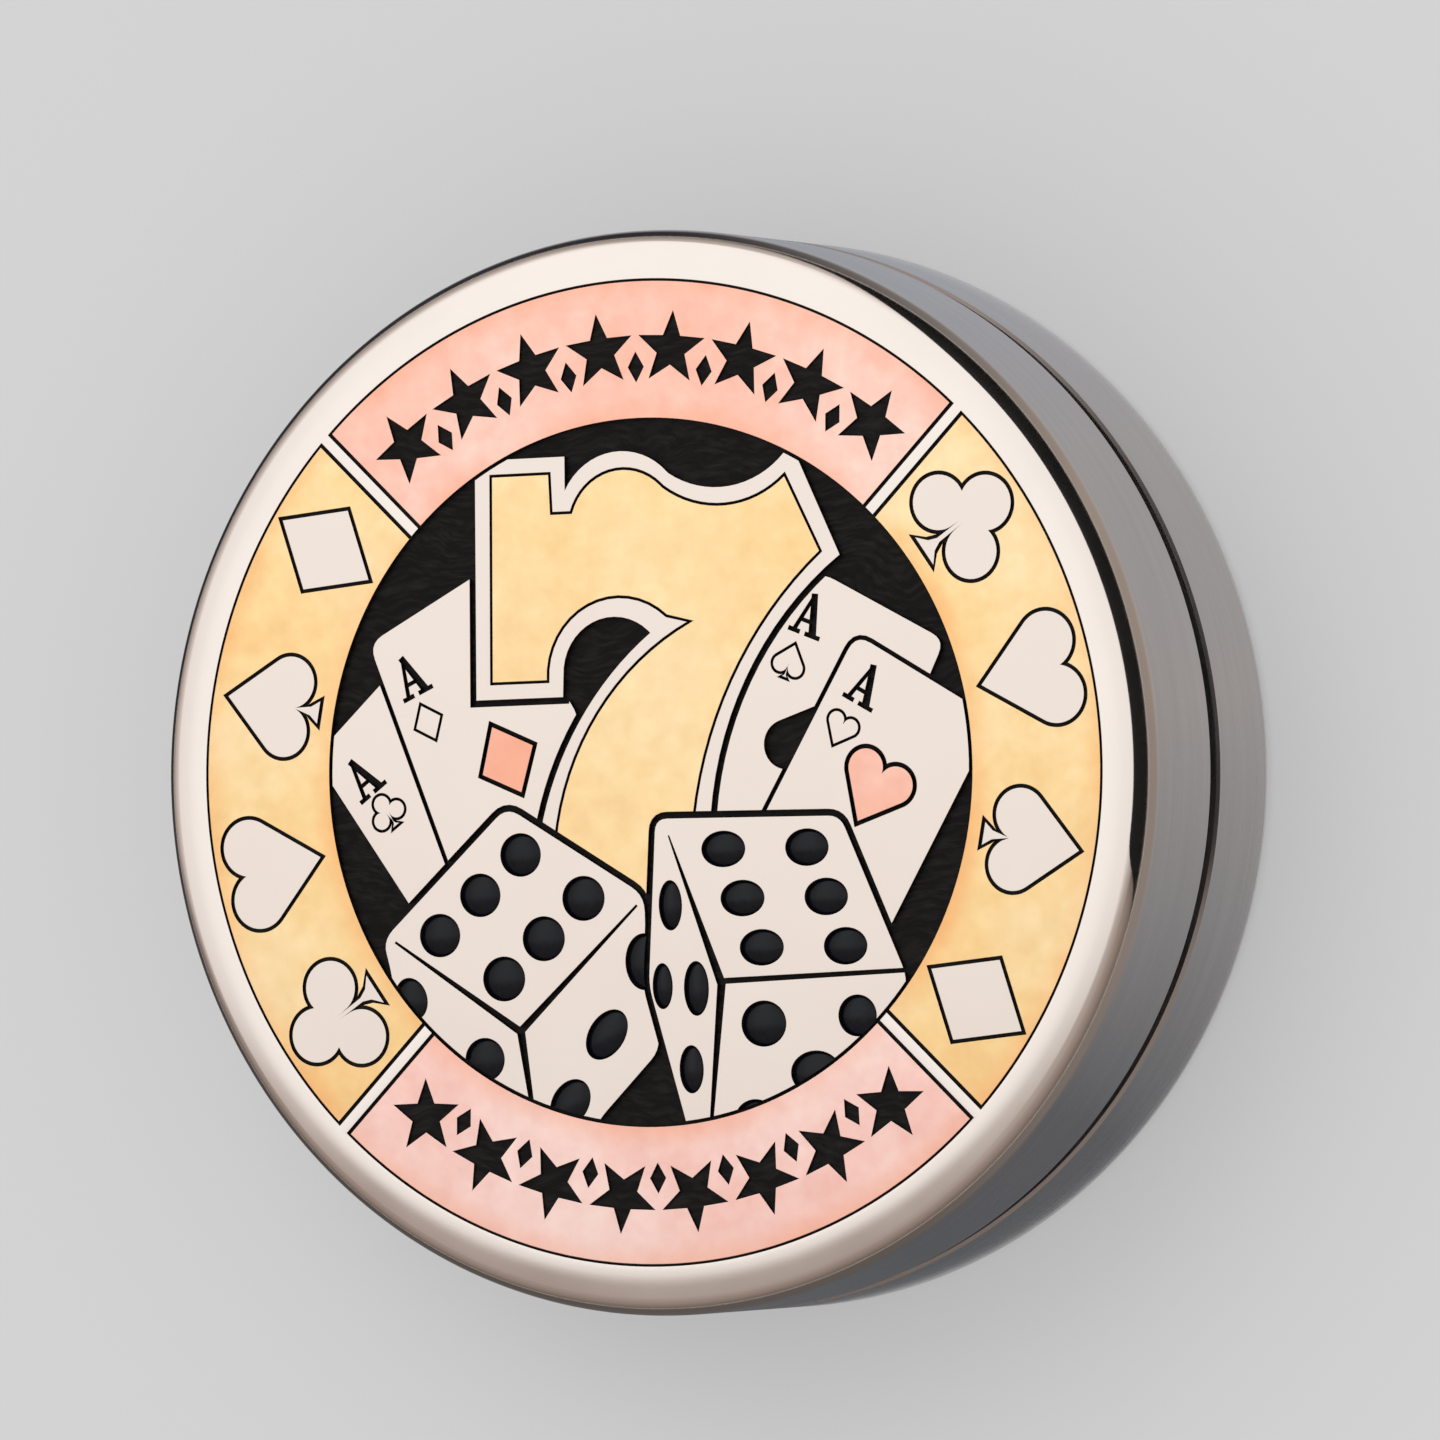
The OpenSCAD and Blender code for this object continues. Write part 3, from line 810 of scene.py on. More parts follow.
class NodeBench:
    """Puts the nodes of one material, or of the surroundings, together."""

    def __init__(
        self, owner: bpy.types.Material | bpy.types.World, output: str, place: str
    ) -> None:
        """Starts with an output and the coordinates alone.

        Args:
            owner: the material or the world.
            output: the output's type, without the ShaderNode prefix.
            place: which coordinates it reads.
        """
        owner.use_nodes = True
        self.owner = owner
        self.tree = owner.node_tree
        self.tree.nodes.clear()
        self.output = self.add(output)
        self.place = self.add("TexCoord").outputs[place]

    @classmethod
    def material(cls, name: str) -> "NodeBench":
        """Starts a new material."""
        return cls(bpy.data.materials.new(name), "OutputMaterial", "Object")

    @classmethod
    def surroundings(cls, name: str) -> "NodeBench":
        """Starts the scene's new surroundings."""
        bpy.context.scene.world = bpy.data.worlds.new(name)
        return cls(bpy.context.scene.world, "OutputWorld", "Generated")

    def add(self, kind: str, inputs: dict | None = None, **settings: object) -> bpy.types.Node:
        """Adds a node.

        Args:
            kind: its type, without the ShaderNode prefix.
            inputs: what goes into its sockets: a value, or another node's output.
            settings: its own settings.

        Returns:
            The node.
        """
        node = self.tree.nodes.new("ShaderNode" + kind)
        for key, value in settings.items():
            setattr(node, key, value)
        for socket, value in (inputs or {}).items():
            if isinstance(value, bpy.types.NodeSocket):
                self.tree.links.new(value, node.inputs[socket])
            else:
                node.inputs[socket].default_value = value
        return node

    def stretched(self, scale: tuple[float, float, float]) -> bpy.types.NodeSocket:
        """Gives the piece's own coordinates scaled along each axis."""
        return self.add("Mapping", {"Vector": self.place, "Scale": scale}).outputs["Vector"]

    def noise(
        self, scale: float, detail: float = 3, rough: float = 0.5, where: object = None
    ) -> bpy.types.NodeSocket:
        """Gives a noise value.

        Args:
            scale: cells per metre.
            detail: how many finer layers it has.
            rough: how strong those layers are.
            where: the coordinates it reads, the piece's own if left out.

        Returns:
            The value socket.
        """
        inputs = {"Vector": where or self.place, "Scale": scale, "Detail": detail, "Roughness": rough}
        return self.add("TexNoise", inputs).outputs["Fac"]

    def ramp(
        self, value: bpy.types.NodeSocket, stops: Sequence[tuple[float, Colour]]
    ) -> bpy.types.NodeSocket:
        """Turns a value into a colour.

        Args:
            value: what is looked up.
            stops: places and their colours, in order.

        Returns:
            The colour socket.
        """
        node = self.add("ValToRGB", {"Fac": value})
        ramp = node.color_ramp
        for place, _ in stops[2:]:
            ramp.elements.new(place)
        for element, (place, colour) in zip(ramp.elements, sorted(stops)):
            element.position = place
            element.color = (*colour, 1)
        return node.outputs["Color"]

    def ranged(self, value: bpy.types.NodeSocket, low: float, high: float) -> bpy.types.NodeSocket:
        """Brings a value of 0.3 to 0.7 into a range."""
        inputs = {"Value": value, "From Min": 0.3, "From Max": 0.7, "To Min": low, "To Max": high}
        return self.add("MapRange", inputs).outputs["Result"]

    def smooth(self, value: object, low: float, high: float) -> bpy.types.NodeSocket:
        """Gives 0 at low and 1 at high, smoothly between them."""
        inputs = {"Value": value, "From Min": low, "From Max": high}
        return self.add("MapRange", inputs, interpolation_type="SMOOTHSTEP").outputs["Result"]

    def blended(
        self, share: object, first: object, second: object, how: str = "MIX"
    ) -> bpy.types.NodeSocket:
        """Mixes two colours.

        Args:
            share: how much of the second.
            first: a colour or a socket.
            second: a colour or a socket.
            how: the blend type.

        Returns:
            The mixed colour's socket.
        """
        node = self.add("Mix", data_type="RGBA", blend_type=how)
        for index, value in ((0, share), (6, first), (7, second)):
            if isinstance(value, bpy.types.NodeSocket):
                self.tree.links.new(value, node.inputs[index])
            elif index == 0:
                node.inputs[index].default_value = value
            else:
                node.inputs[index].default_value = (*value, 1)
        return node.outputs[2]

    def math(self, how: str, first: object, second: object = 0.0) -> bpy.types.NodeSocket:
        """Does one sum on two values."""
        return self.add("Math", {0: first, 1: second}, operation=how).outputs[0]

    def radius(self) -> bpy.types.NodeSocket:
        """Measures each point's distance from the button's axis.

        Returns:
            The distance's socket, in metres.
        """
        split = self.add("SeparateXYZ", {"Vector": self.place})
        across = self.math("MULTIPLY", split.outputs["X"], split.outputs["X"])
        up = self.math("MULTIPLY", split.outputs["Y"], split.outputs["Y"])
        return self.math("SQRT", self.math("ADD", across, up))

    def bump(self, height: bpy.types.NodeSocket, depth: float, strength: float = 1) -> object:
        """Gives the normal of a fine relief.

        Args:
            height: the relief, from 0 to 1.
            depth: its full depth in metres.
            strength: how much of it shows.

        Returns:
            The normal socket.
        """
        inputs = {"Height": height, "Distance": depth, "Strength": strength}
        return self.add("Bump", inputs).outputs["Normal"]

    def surface(self, **inputs: object) -> bpy.types.Material:
        """Closes the material with a shader.

        Args:
            inputs: the shader's sockets, their spaces as underscores.

        Returns:
            The material.
        """
        named = {key.replace("_", " "): value for key, value in inputs.items()}
        return self.closed(self.add("BsdfPrincipled", named))

    def mixed(
        self, share: object, first: bpy.types.Node, second: bpy.types.Node
    ) -> bpy.types.Node:
        """Mixes two shaders; share is how much of the second."""
        return self.add("MixShader", {0: share, 1: first.outputs[0], 2: second.outputs[0]})

    def closed(self, shader: bpy.types.Node) -> bpy.types.Material | bpy.types.World:
        """Joins the last shader to the output and gives the material or the world."""
        self.tree.links.new(shader.outputs[0], self.output.inputs["Surface"])
        return self.owner


@dataclass(frozen=True)
class SatinSteel:
    """Polished stainless steel with a faint haze and hairlines."""

    name: str
    colour: Colour
    roughness: float = 0.16
    haze: float = 0.05

    def build(self) -> bpy.types.Material:
        """Makes the material: cloudy colour and gloss, with hairlines in the relief.

        Returns:
            The material.
        """
        bench = NodeBench.material(self.name)
        cloud = bench.noise(140, 4, 0.55)
        darker = shaded(self.colour, 1 - self.haze)
        base = bench.ramp(cloud, [(0.35, darker), (0.65, self.colour)])
        fine = bench.noise(9000, 2, 0.6)
        gloss = bench.ranged(cloud, self.roughness - 0.02, self.roughness + 0.03)
        return bench.surface(
            Base_Color=base,
            Metallic=1.0,
            Roughness=gloss,
            Normal=bench.bump(fine, 4e-7, 0.35),
        )


@dataclass(frozen=True)
class TurnedSteel:
    """Steel with the fine rings that turning leaves round a side wall."""

    name: str
    colour: Colour
    roughness: float = 0.22
    ring_pitch: float = 14000

    def build(self) -> bpy.types.Material:
        """Makes the material: rings that run round the axis and slow clouds along them.

        Returns:
            The material.
        """
        bench = NodeBench.material(self.name)
        along = bench.stretched((90, 90, self.ring_pitch))
        rings = bench.noise(1, 3, 0.55, along)
        wide = bench.noise(1, 2, 0.5, bench.stretched((60, 60, 1500)))
        darker = shaded(self.colour, 0.86)
        base = bench.ramp(bench.blended(0.5, rings, wide), [(0.3, darker), (0.7, self.colour)])
        gloss = bench.ranged(rings, self.roughness - 0.04, self.roughness + 0.07)
        return bench.surface(
            Base_Color=base,
            Metallic=1.0,
            Roughness=gloss,
            Normal=bench.bump(rings, 1.2e-6, 0.5),
        )


@dataclass(frozen=True)
class HeatTint:
    """The colour of a thin oxide on steel, mottled, and deeper near the edges of its field."""

    name: str
    light: Colour
    middle: Colour
    deep: Colour
    edge: Colour | None = None
    roughness: float = 0.3
    ring_middle: float = 0.0195
    calm: Span = (0.0019, 0.0034)

    def build(self) -> bpy.types.Material:
        """Makes the material: three depths of one tint over a metal base.

        Returns:
            The material.
        """
        bench = NodeBench.material(self.name)
        slow = bench.noise(120, 3, 0.5)
        quick = bench.noise(900, 4, 0.6)
        mottle = bench.blended(0.3, slow, quick)
        base = bench.ramp(mottle, [(0.34, self.light), (0.5, self.middle), (0.68, self.deep)])
        if self.edge:
            off = bench.math("SUBTRACT", bench.radius(), self.ring_middle)
            share = bench.smooth(bench.math("ABSOLUTE", off), *self.calm)
            share = bench.math("MULTIPLY", share, bench.ranged(slow, 0.2, 1.1))
            base = bench.blended(share, base, self.edge)
        grain = bench.noise(4000, 2, 0.6)
        return bench.surface(
            Base_Color=base,
            Metallic=1.0,
            Roughness=bench.ranged(quick, self.roughness - 0.02, self.roughness + 0.04),
            Normal=bench.bump(grain, 2e-7, 0.3),
        )


@dataclass(frozen=True)
class BlackEtch:
    """Steel blackened deep by the engraving beam, with the fine strokes it leaves."""

    name: str
    ground: Colour
    stroke: Colour
    stroke_scale: float = 4200

    def build(self) -> bpy.types.Material:
        """Makes the material: curved strokes like wood grain on a matt black ground.

        Returns:
            The material.
        """
        bench = NodeBench.material(self.name)
        bend = bench.noise(160, 3, 0.5)
        drift = {axis: bench.math("MULTIPLY", bend, by) for axis, by in (("X", 0.006), ("Y", 0.004))}
        moved = bench.add("CombineXYZ", drift).outputs["Vector"]
        bent = bench.add("VectorMath", {0: bench.place, 1: moved}, operation="ADD")
        along = {"Vector": bent.outputs[0], "Scale": (0.22, 1, 1), "Rotation": (0, 0, 0.25)}
        where = bench.add("Mapping", along).outputs["Vector"]
        grain = bench.noise(self.stroke_scale, 3, 0.6, where)
        base = bench.ramp(grain, [(0.42, self.ground), (0.7, self.stroke)])
        return bench.surface(
            Base_Color=base,
            Metallic=0.0,
            Roughness=bench.ranged(grain, 0.45, 0.65),
            Specular_IOR_Level=0.12,
            Normal=bench.bump(grain, 1.2e-5, 0.6),
        )


@dataclass(frozen=True)
class GlossBlack:
    """The smooth dark spots of the dice, with a faint blue sheen."""

    name: str
    colour: Colour

    def build(self) -> bpy.types.Material:
        """Makes the material: dark, smooth, with a little grain.

        Returns:
            The material.
        """
        bench = NodeBench.material(self.name)
        grain = bench.noise(4500, 3, 0.6)
        blue = tuple(c * k for c, k in zip(self.colour, (1.2, 1.7, 2.6)))
        base = bench.ramp(grain, [(0.4, self.colour), (0.75, blue)])
        return bench.surface(
            Base_Color=base,
            Metallic=0.0,
            Roughness=bench.ranged(grain, 0.18, 0.26),
            Specular_IOR_Level=0.24,
            Normal=bench.bump(grain, 6e-6, 0.4),
        )


@dataclass(frozen=True)
class WorkMetal:
    """A metal of the inner parts, ground or turned about the axis."""

    name: str
    colour: Colour
    roughness: float
    metallic: float = 1.0
    line_scale: float = 5200

    def build(self) -> bpy.types.Material:
        """Makes the material: rings about the axis that show in gloss and relief.

        Returns:
            The material.
        """
        bench = NodeBench.material(self.name)
        radius = bench.math("MULTIPLY", bench.radius(), self.line_scale)
        height = bench.add("SeparateXYZ", {"Vector": bench.place}).outputs["Z"]
        drop = bench.math("MULTIPLY", height, self.line_scale)
        where = bench.add("CombineXYZ", {"X": radius, "Y": drop, "Z": 0.0}).outputs["Vector"]
        rings = bench.noise(1, 3, 0.6, where)
        cloud = bench.noise(300, 3, 0.5)
        darker = shaded(self.colour, 0.82)
        base = bench.ramp(bench.blended(0.5, rings, cloud), [(0.3, darker), (0.7, self.colour)])
        return bench.surface(
            Base_Color=base,
            Metallic=self.metallic,
            Roughness=bench.ranged(rings, self.roughness * 0.8, self.roughness * 1.25),
            Normal=bench.bump(rings, 1.5e-6, 0.5),
        )


@dataclass(frozen=True)
class Moulded:
    """The tough brown plastic of the ball cages."""

    name: str
    colour: Colour

    def build(self) -> bpy.types.Material:
        """Makes the material: a cloudy moulded plastic with a fine skin.

        Returns:
            The material.
        """
        bench = NodeBench.material(self.name)
        cloud = bench.noise(500, 4, 0.6)
        darker = shaded(self.colour, 0.7)
        base = bench.ramp(cloud, [(0.35, darker), (0.65, self.colour)])
        skin = bench.noise(6000, 2, 0.5)
        return bench.surface(
            Base_Color=base,
            Metallic=0.0,
            Roughness=bench.ranged(skin, 0.4, 0.55),
            Specular_IOR_Level=0.45,
            Normal=bench.bump(skin, 3e-6, 0.5),
        )


class Finishes:
    """Every finish of the button, each made once."""

    def __init__(self) -> None:
        """Makes the materials."""
        self.face = SatinSteel("face_steel", linear(231, 223, 217)).build()
        self.island = SatinSteel("island_steel", linear(232, 221, 213), 0.24, 0.04).build()
        self.wall = TurnedSteel("wall_steel", linear(226, 223, 222)).build()
        # the lower field's tint: partly its own pinker colour, partly painted light, drawn lighter
        # than the upper field's pink to make up for the darker reflection the lower field gets
        self.rose_with_painted_light = HeatTint(
            "tint_rose_with_painted_light",
            linear(255, 230, 221),
            linear(255, 217, 209),
            linear(255, 202, 190),
            linear(253, 190, 166),
        ).build()
        self.pink = HeatTint(
            "tint_pink",
            linear(255, 216, 203),
            linear(254, 202, 185),
            linear(253, 190, 168),
            linear(251, 180, 152),
        ).build()
        self.gold = HeatTint(
            "tint_gold",
            linear(255, 229, 182),
            linear(254, 221, 162),
            linear(254, 210, 146),
            linear(253, 193, 130),
        ).build()
        self.seven_gold = HeatTint(
            "tint_seven", linear(255, 230, 184), linear(254, 223, 168), linear(253, 215, 154)
        ).build()
        self.etch = BlackEtch("black_etch", (0.004, 0.0035, 0.0035), (0.017, 0.015, 0.014)).build()
        self.pip = GlossBlack("pip_black", (0.003, 0.0036, 0.005)).build()
        self.hard = WorkMetal("hard_steel", linear(214, 215, 217), 0.24).build()
        self.screw = WorkMetal("screw_steel", linear(52, 52, 55), 0.38, 0.8).build()
        self.brass = WorkMetal("ring_brass", linear(222, 184, 112), 0.3, 1.0, 3600).build()
        self.nickel = WorkMetal("magnet_nickel", linear(222, 219, 210), 0.16).build()
        self.ball = WorkMetal("ball_steel", linear(228, 228, 230), 0.08).build()
        self.shield = WorkMetal("shield_steel", linear(196, 196, 198), 0.3).build()
        self.cage = Moulded("cage_plastic", linear(176, 140, 84)).build()


def dress(piece: bpy.types.Object, *finishes: bpy.types.Material) -> None:
    """Gives a piece its finishes, the first of them all over.

    Args:
        piece: the piece.
        finishes: its finishes in the order of their slots.
    """
    piece.data.materials.clear()
    for finish in finishes:
        piece.data.materials.append(finish)


def dress_engraved(
    piece: bpy.types.Object, top: float, finish: bpy.types.Material, ground: bpy.types.Material
) -> None:
    """Gives a piece its finish on the flat top and the engraved ground below it.

    Args:
        piece: the piece, in metres.
        top: the height in millimetres above which the finish holds.
        finish: the material of the top.
        ground: the material of its sides and floors.
    """
    dress(piece, finish, ground)
    for face in piece.data.polygons:
        face.material_index = 0 if face.center.z > top * MM else 1


def report(piece: bpy.types.Object, body: str) -> bpy.types.Object:
    """Joins a finished piece to its moving body.

    Args:
        piece: the piece.
        body: the body it rides on.

    Returns:
        The same piece.
    """
    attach(piece, body)
    LOG.info("%s: %d faces, rides %s", piece.name, len(piece.data.polygons), body)
    return piece


# ---------------------------------------------------------------- the two shells


@dataclass(frozen=True)
class ScrewCircle:
    """A circle of small screws that both shells have blind holes for."""

    count: int
    circle_r: float
    start: float
    hole_r: float = 0.8

    def drills(self, low: float, high: float) -> bpy.types.Object:
        """Makes the drills for the whole circle as one mesh.

        Args:
            low: height of their lower ends.
            high: height of their upper ends.

        Returns:
            The drills.
        """
        Bench.clear_selection()
        bpy.ops.mesh.primitive_cylinder_add(
            vertices=32, radius=self.hole_r, depth=high - low, location=(0, 0, 0)
        )
        drill = bpy.context.object
        drill.data.transform(Matrix.Translation((self.circle_r, 0, (high + low) / 2)))
        drill.data.transform(Matrix.Rotation(math.radians(self.start), 4, "Z"))
        turns = [Matrix.Rotation(math.tau * i / self.count, 4, "Z") for i in range(1, self.count)]
        return Bench.joined([drill, *(Bench.copied(drill, turn) for turn in turns)], "drills")


PLATE_SCREWS = ScrewCircle(4, 8.9, 0)
RING_SCREWS = ScrewCircle(6, 17.9, 15)
EDGE_FACETS = 10


@dataclass
class FrontShell:
    """The front half's shell, with the pockets of the face art cut into it."""

    finishes: Finishes
    radius: float = 25.0
    low: float = 7.6
    high: float = 15.0
    edge: float = 0.85
    edge_drop: float = 1.15
    lip: float = 0.15
    cavity_r: float = 21.5
    roof_z: float = 12.8
    land_r: float = 14.4
    land_z: float = 9.3
    bore_r: float = 6.0
    relief_r: float = 5.4
    relief_z: float = 12.9
    picture_r: float = 16.3
    picture_depth: float = 0.3
    field_depth: float = 0.15
    crown_r: float = 22.9
    crown_bend: float = 0.08
    border_circles: tuple[float, ...] = (23.7, 23.4, 23.15)
    plate_screw_end: float = 11.8
    ring_screw_end: float = 13.8
    overcut: float = 0.4
    softening: float = 0.02
    polish_depth: float = 0.025
    art_z: float = 13.3

    def build(self) -> bpy.types.Object:
        """Turns the shell, drills it and cuts the pockets of the art.

        Returns:
            The shell.
        """
        lathe = Lathe("front_shell_body", self.radius, self.low, self.high)
        lathe.round_edge(self.edge, EDGE_FACETS)
        lathe.round_edge(self.lip, 1, top=False)
        lathe.face_in(self.cavity_r, top=False).sink_to(self.roof_z, top=False)
        lathe.face_in(self.land_r, top=False).sink_to(self.land_z, top=False)
        lathe.face_in(self.bore_r, top=False).sink_to(self.roof_z, top=False)
        lathe.face_in(self.relief_r, top=False).sink_to(self.relief_z, top=False)
        for radius in (*self.border_circles, self.crown_r):
            lathe.face_in(radius)
        lathe.face_in(self.picture_r).sink_to(self.high - self.picture_depth)
        shell = lathe.take_off()
        tools = [
            PLATE_SCREWS.drills(self.land_z - self.overcut, self.plate_screw_end),
            RING_SCREWS.drills(self.roof_z - self.overcut, self.ring_screw_end),
        ]
        floor, above = self.high - self.field_depth, self.high + 1
        for middle in FIELD_ANGLES:
            outline = field_outline(middle, FIELD_POCKET)
            tools.append(Bench.plate("pocket", [outline], floor, above))
        for tool in tools:
            Bench.cut(shell, tool)
        Bench.discard(tools)
        Bench.soften_top(shell, self.high, self.softening, self.crown_r - CLEAR)
        self.crown(shell)
        return Bench.finish(shell)

    def crown(self, shell: bpy.types.Object) -> None:
        """Makes the rounded edge oval and lets the border fall away a little towards it.

        Args:
            shell: the shell, in millimetres.
        """
        for vertex in shell.data.vertices:
            radius = math.hypot(vertex.co.x, vertex.co.y)
            drop = self.high - vertex.co.z
            if radius > self.crown_r and drop < self.edge + CLEAR:
                run = min(radius, self.radius - self.edge) - self.crown_r
                drop *= self.edge_drop / self.edge
                drop += self.crown_bend / 2 * run ** 2
                vertex.co.z = self.high - drop

    def dress(self, shell: bpy.types.Object) -> None:
        """Gives the wall, the border, the pockets and the cavity their finishes.

        Args:
            shell: the shell, in metres.
        """
        made = self.finishes
        dress(shell, made.face, made.wall, made.etch, made.hard)
        for face in shell.data.polygons:
            radius = math.hypot(face.center.x, face.center.y) / MM
            height = face.center.z / MM
            rounded = radius > self.crown_r and face.normal.z > 0.05
            if rounded or height > self.high - self.polish_depth:
                face.material_index = 0
            elif height > self.art_z and radius < self.crown_r:
                face.material_index = 2
            elif radius < self.cavity_r + CLEAR:
                face.material_index = 3
            else:
                face.material_index = 1


@dataclass
class RearShell:
    """The rear half's shell, with its cavity, land and spigot."""

    finishes: Finishes
    radius: float = 25.0
    high: float = 6.7
    edge: float = 1.05
    lip: float = 0.15
    cavity_r: float = 21.5
    floor_z: float = 2.0
    land_r: float = 14.4
    land_z: float = 5.0
    land_in_r: float = 7.2
    spigot_r: float = 3.4
    spigot_z: float = 5.0
    hole_r: float = 1.5
    hole_z: float = 1.2
    plate_screw_end: float = 2.5
    ring_screw_end: float = 1.0
    overcut: float = 0.4
    back_z: float = 0.1
    inside_z: float = 0.5

    def build(self) -> bpy.types.Object:
        """Turns the shell and drills it.

        Returns:
            The shell.
        """
        lathe = Lathe("rear_shell_body", self.radius, 0, self.high)
        lathe.round_edge(self.edge, EDGE_FACETS, top=False)
        lathe.round_edge(self.lip, 1)
        lathe.face_in(self.cavity_r).sink_to(self.floor_z)
        lathe.face_in(self.land_r).sink_to(self.land_z)
        lathe.face_in(self.land_in_r).sink_to(self.floor_z)
        lathe.face_in(self.spigot_r).sink_to(self.spigot_z)
        lathe.face_in(self.hole_r).sink_to(self.hole_z)
        shell = lathe.take_off()
        tools = [
            PLATE_SCREWS.drills(self.plate_screw_end, self.land_z + self.overcut),
            RING_SCREWS.drills(self.ring_screw_end, self.floor_z + self.overcut),
        ]
        for tool in tools:
            Bench.cut(shell, tool)
        Bench.discard(tools)
        return Bench.finish(shell)

    def dress(self, shell: bpy.types.Object) -> None:
        """Gives the wall, the back and the cavity their finishes.

        Args:
            shell: the shell, in metres.
        """
        dress(shell, self.finishes.wall, self.finishes.face, self.finishes.hard)
        for face in shell.data.polygons:
            radius = math.hypot(face.center.x, face.center.y) / MM
            height = face.center.z / MM
            if radius < self.cavity_r + CLEAR and height > self.inside_z:
                face.material_index = 2
            elif height < self.back_z:
                face.material_index = 1
            else:
                face.material_index = 0


# ---------------------------------------------------------------- the ring of fields


@dataclass(frozen=True)
class FieldEdge:
    """Where one kind of outline runs round a quarter field."""

    outer_r: float
    inner_r: float
    from_strip: float


FIELD_ANGLES = (90, 0, 270, 180)
FIELD_POCKET = FieldEdge(outer_r=22.71, inner_r=16.1, from_strip=0.25)
FIELD_PLATE = FieldEdge(outer_r=22.6, inner_r=16.3, from_strip=0.42)


def field_outline(middle: float, edge: FieldEdge) -> Outline:
    """Gives the outline of a quarter field.

    Args:
        middle: the angle of its middle, in degrees.
        edge: where its edges run; from_strip is their distance from the diagonals.

    Returns:
        The outline.
    """
    outer = 45 - math.degrees(math.asin(edge.from_strip / edge.outer_r))
    inner = 45 - math.degrees(math.asin(edge.from_strip / edge.inner_r))
    points = sweep((0, 0), edge.outer_r, middle - outer, middle + outer, 72)
    points += sweep((0, 0), edge.inner_r, middle + inner, middle - inner, 56)
    return Outline.of(points)


@dataclass
class FieldRing:
    """The four tinted fields, their suit marks and their rows of stars."""

    finishes: Finishes
    low: float = 14.84
    high: float = 15.0
    suit_r: float = 19.5
    suit_step: float = 22.65
    line: float = 0.17
    star_count: int = 8
    star_r: float = 1.75
    star_step: float = 10.6
    lozenge_drop: float = 0.85
    softening: float = 0.02

    def suits(self, side: float, grow: float) -> dict[Suit, Outline]:
        """Gives the four suits of one field in their places, their tops outwards.

        Args:
            side: the angle of the field's middle.
            grow: how far each outline is moved outwards.

        Returns:
            The outlines.
        """
        placed: dict[Suit, Outline] = {}
        for i, (suit, outline) in enumerate(SUIT_OUTLINES.items()):
            angle = side + (1.5 - i) * self.suit_step
            placed[suit] = outline(grow).placed(on_ring(self.suit_r, angle), angle - 90)
        return placed

    def stars(self, middle: float) -> list[Outline]:
        """Gives a row of stars, with a lozenge in the wider gap below each two of them.

        Args:
            middle: the angle of the row's middle.

        Returns:
            The outlines.
        """
        star = star_outline(self.star_r)
        lozenge = Outline.of([(0, 0.7), (-0.4, 0), (0, -0.7), (0.4, 0)])
        row: list[Outline] = []
        for i in range(2 * self.star_count - 1):
            angle = middle + (i - (self.star_count - 1)) * self.star_step / 2
            if i % 2 == 0:
                row.append(star.placed(on_ring(self.suit_r, angle), angle - 90))
            else:
                at = on_ring(self.suit_r - self.lozenge_drop, angle)
                row.append(lozenge.placed(at, angle - 90))
        return row

    def add(self, name: str, outlines: Sequence[Outline], finish: bpy.types.Material) -> None:
        """Builds, dresses and mounts one plate.

        Args:
            name: its name.
            outlines: its outline and its holes.
            finish: the material of its top.
        """
        plate = Bench.finish(Bench.plate(name, outlines, self.low, self.high, self.softening))
        dress_engraved(plate, self.high - 1.5 * self.softening, finish, self.finishes.etch)
        report(plate, "front")

    def build(self) -> None:
        """Builds every plate of the ring."""
        # the lower field's rose tint holds painted light: it is drawn lighter to offset the darker
        # reflection it gets
        pinks = (("upper_field", 90, self.finishes.pink), ("lower_field", 270, self.finishes.rose_with_painted_light))
        for name, middle, finish in pinks:
            outline = field_outline(middle, FIELD_PLATE)
            self.add(name, [outline, *self.stars(middle)], finish)
        for name, side in (("right", 0), ("left", 180)):
            outline = field_outline(side, FIELD_PLATE)
            holes = self.suits(side, self.line / 2).values()
            self.add(f"{name}_field", [outline, *holes], self.finishes.gold)
            for suit, mark in self.suits(side, -self.line / 2).items():
                self.add(f"{name}_{suit.value}", [mark], self.finishes.island)


# ---------------------------------------------------------------- the picture

SEVEN_BORDER = Outline.of(
    [(-8.6, 3.6), (-8.35, 14.7), (-3.75, 14.7)]
    + arc((-3.78, 13.15), (-1.1, 14.82), (1.45, 13.75))
    + arc((1.5, 13.7), (4.1, 12.95), (7.35, 14.4))
    + [(8, 14.15)]
    + arc((10, 9.6), (5.9, 5.4), (3.1, -3))
    + [(2.6, -6), (-5.5, -6)]
    + arc((-5.5, -2.6), (-3.65, 2), (0.35, 6.4))
    + arc((0.25, 6.5), (-1.4, 7.2), (-4.1, 4.6))
    + [(-4.15, 3.6)]
)
SEVEN_FIELD = Outline.of(
    [(-7.8, 4.35), (-7.55, 13.95), (-4.55, 13.95), (-4.5, 12.1)]
    + arc((-3.5, 12.1), (-1.1, 14), (1.1, 13.2))
    + arc((1.2, 13.1), (4.1, 12.15), (7.35, 13.4))
    + arc((9.05, 9.8), (4.6, 4.5), (2.2, -3))
    + [(2, -6), (-4.7, -6)]
    + arc((-4.75, -3), (-2.3, 3), (2.4, 6.85))
    + arc((1.2, 7.15), (-1.3, 8.12), (-4.9, 4.35))
)
LEFT_FRONT_CARD = Outline.of(
    [(-10, -4.5), (-14.05, 6.45), (-8, 9.65), (-3.3, 2.6), (-5, -5)]
).rounded(0.8)
LEFT_BACK_CARD = Outline.of(
    [(-17, 1.3), (-13.5, 4.55), (-9, 2), (-9.5, -6), (-12, -6.2), (-17, 1.2)]
)
RIGHT_FRONT_CARD = Outline.of(
    [(5.4, -2.9), (10.7, 5.95), (16.95, 2.15), (16.9, 0.8), (11.7, -7.95), (6, -8)]
).rounded(0.85)
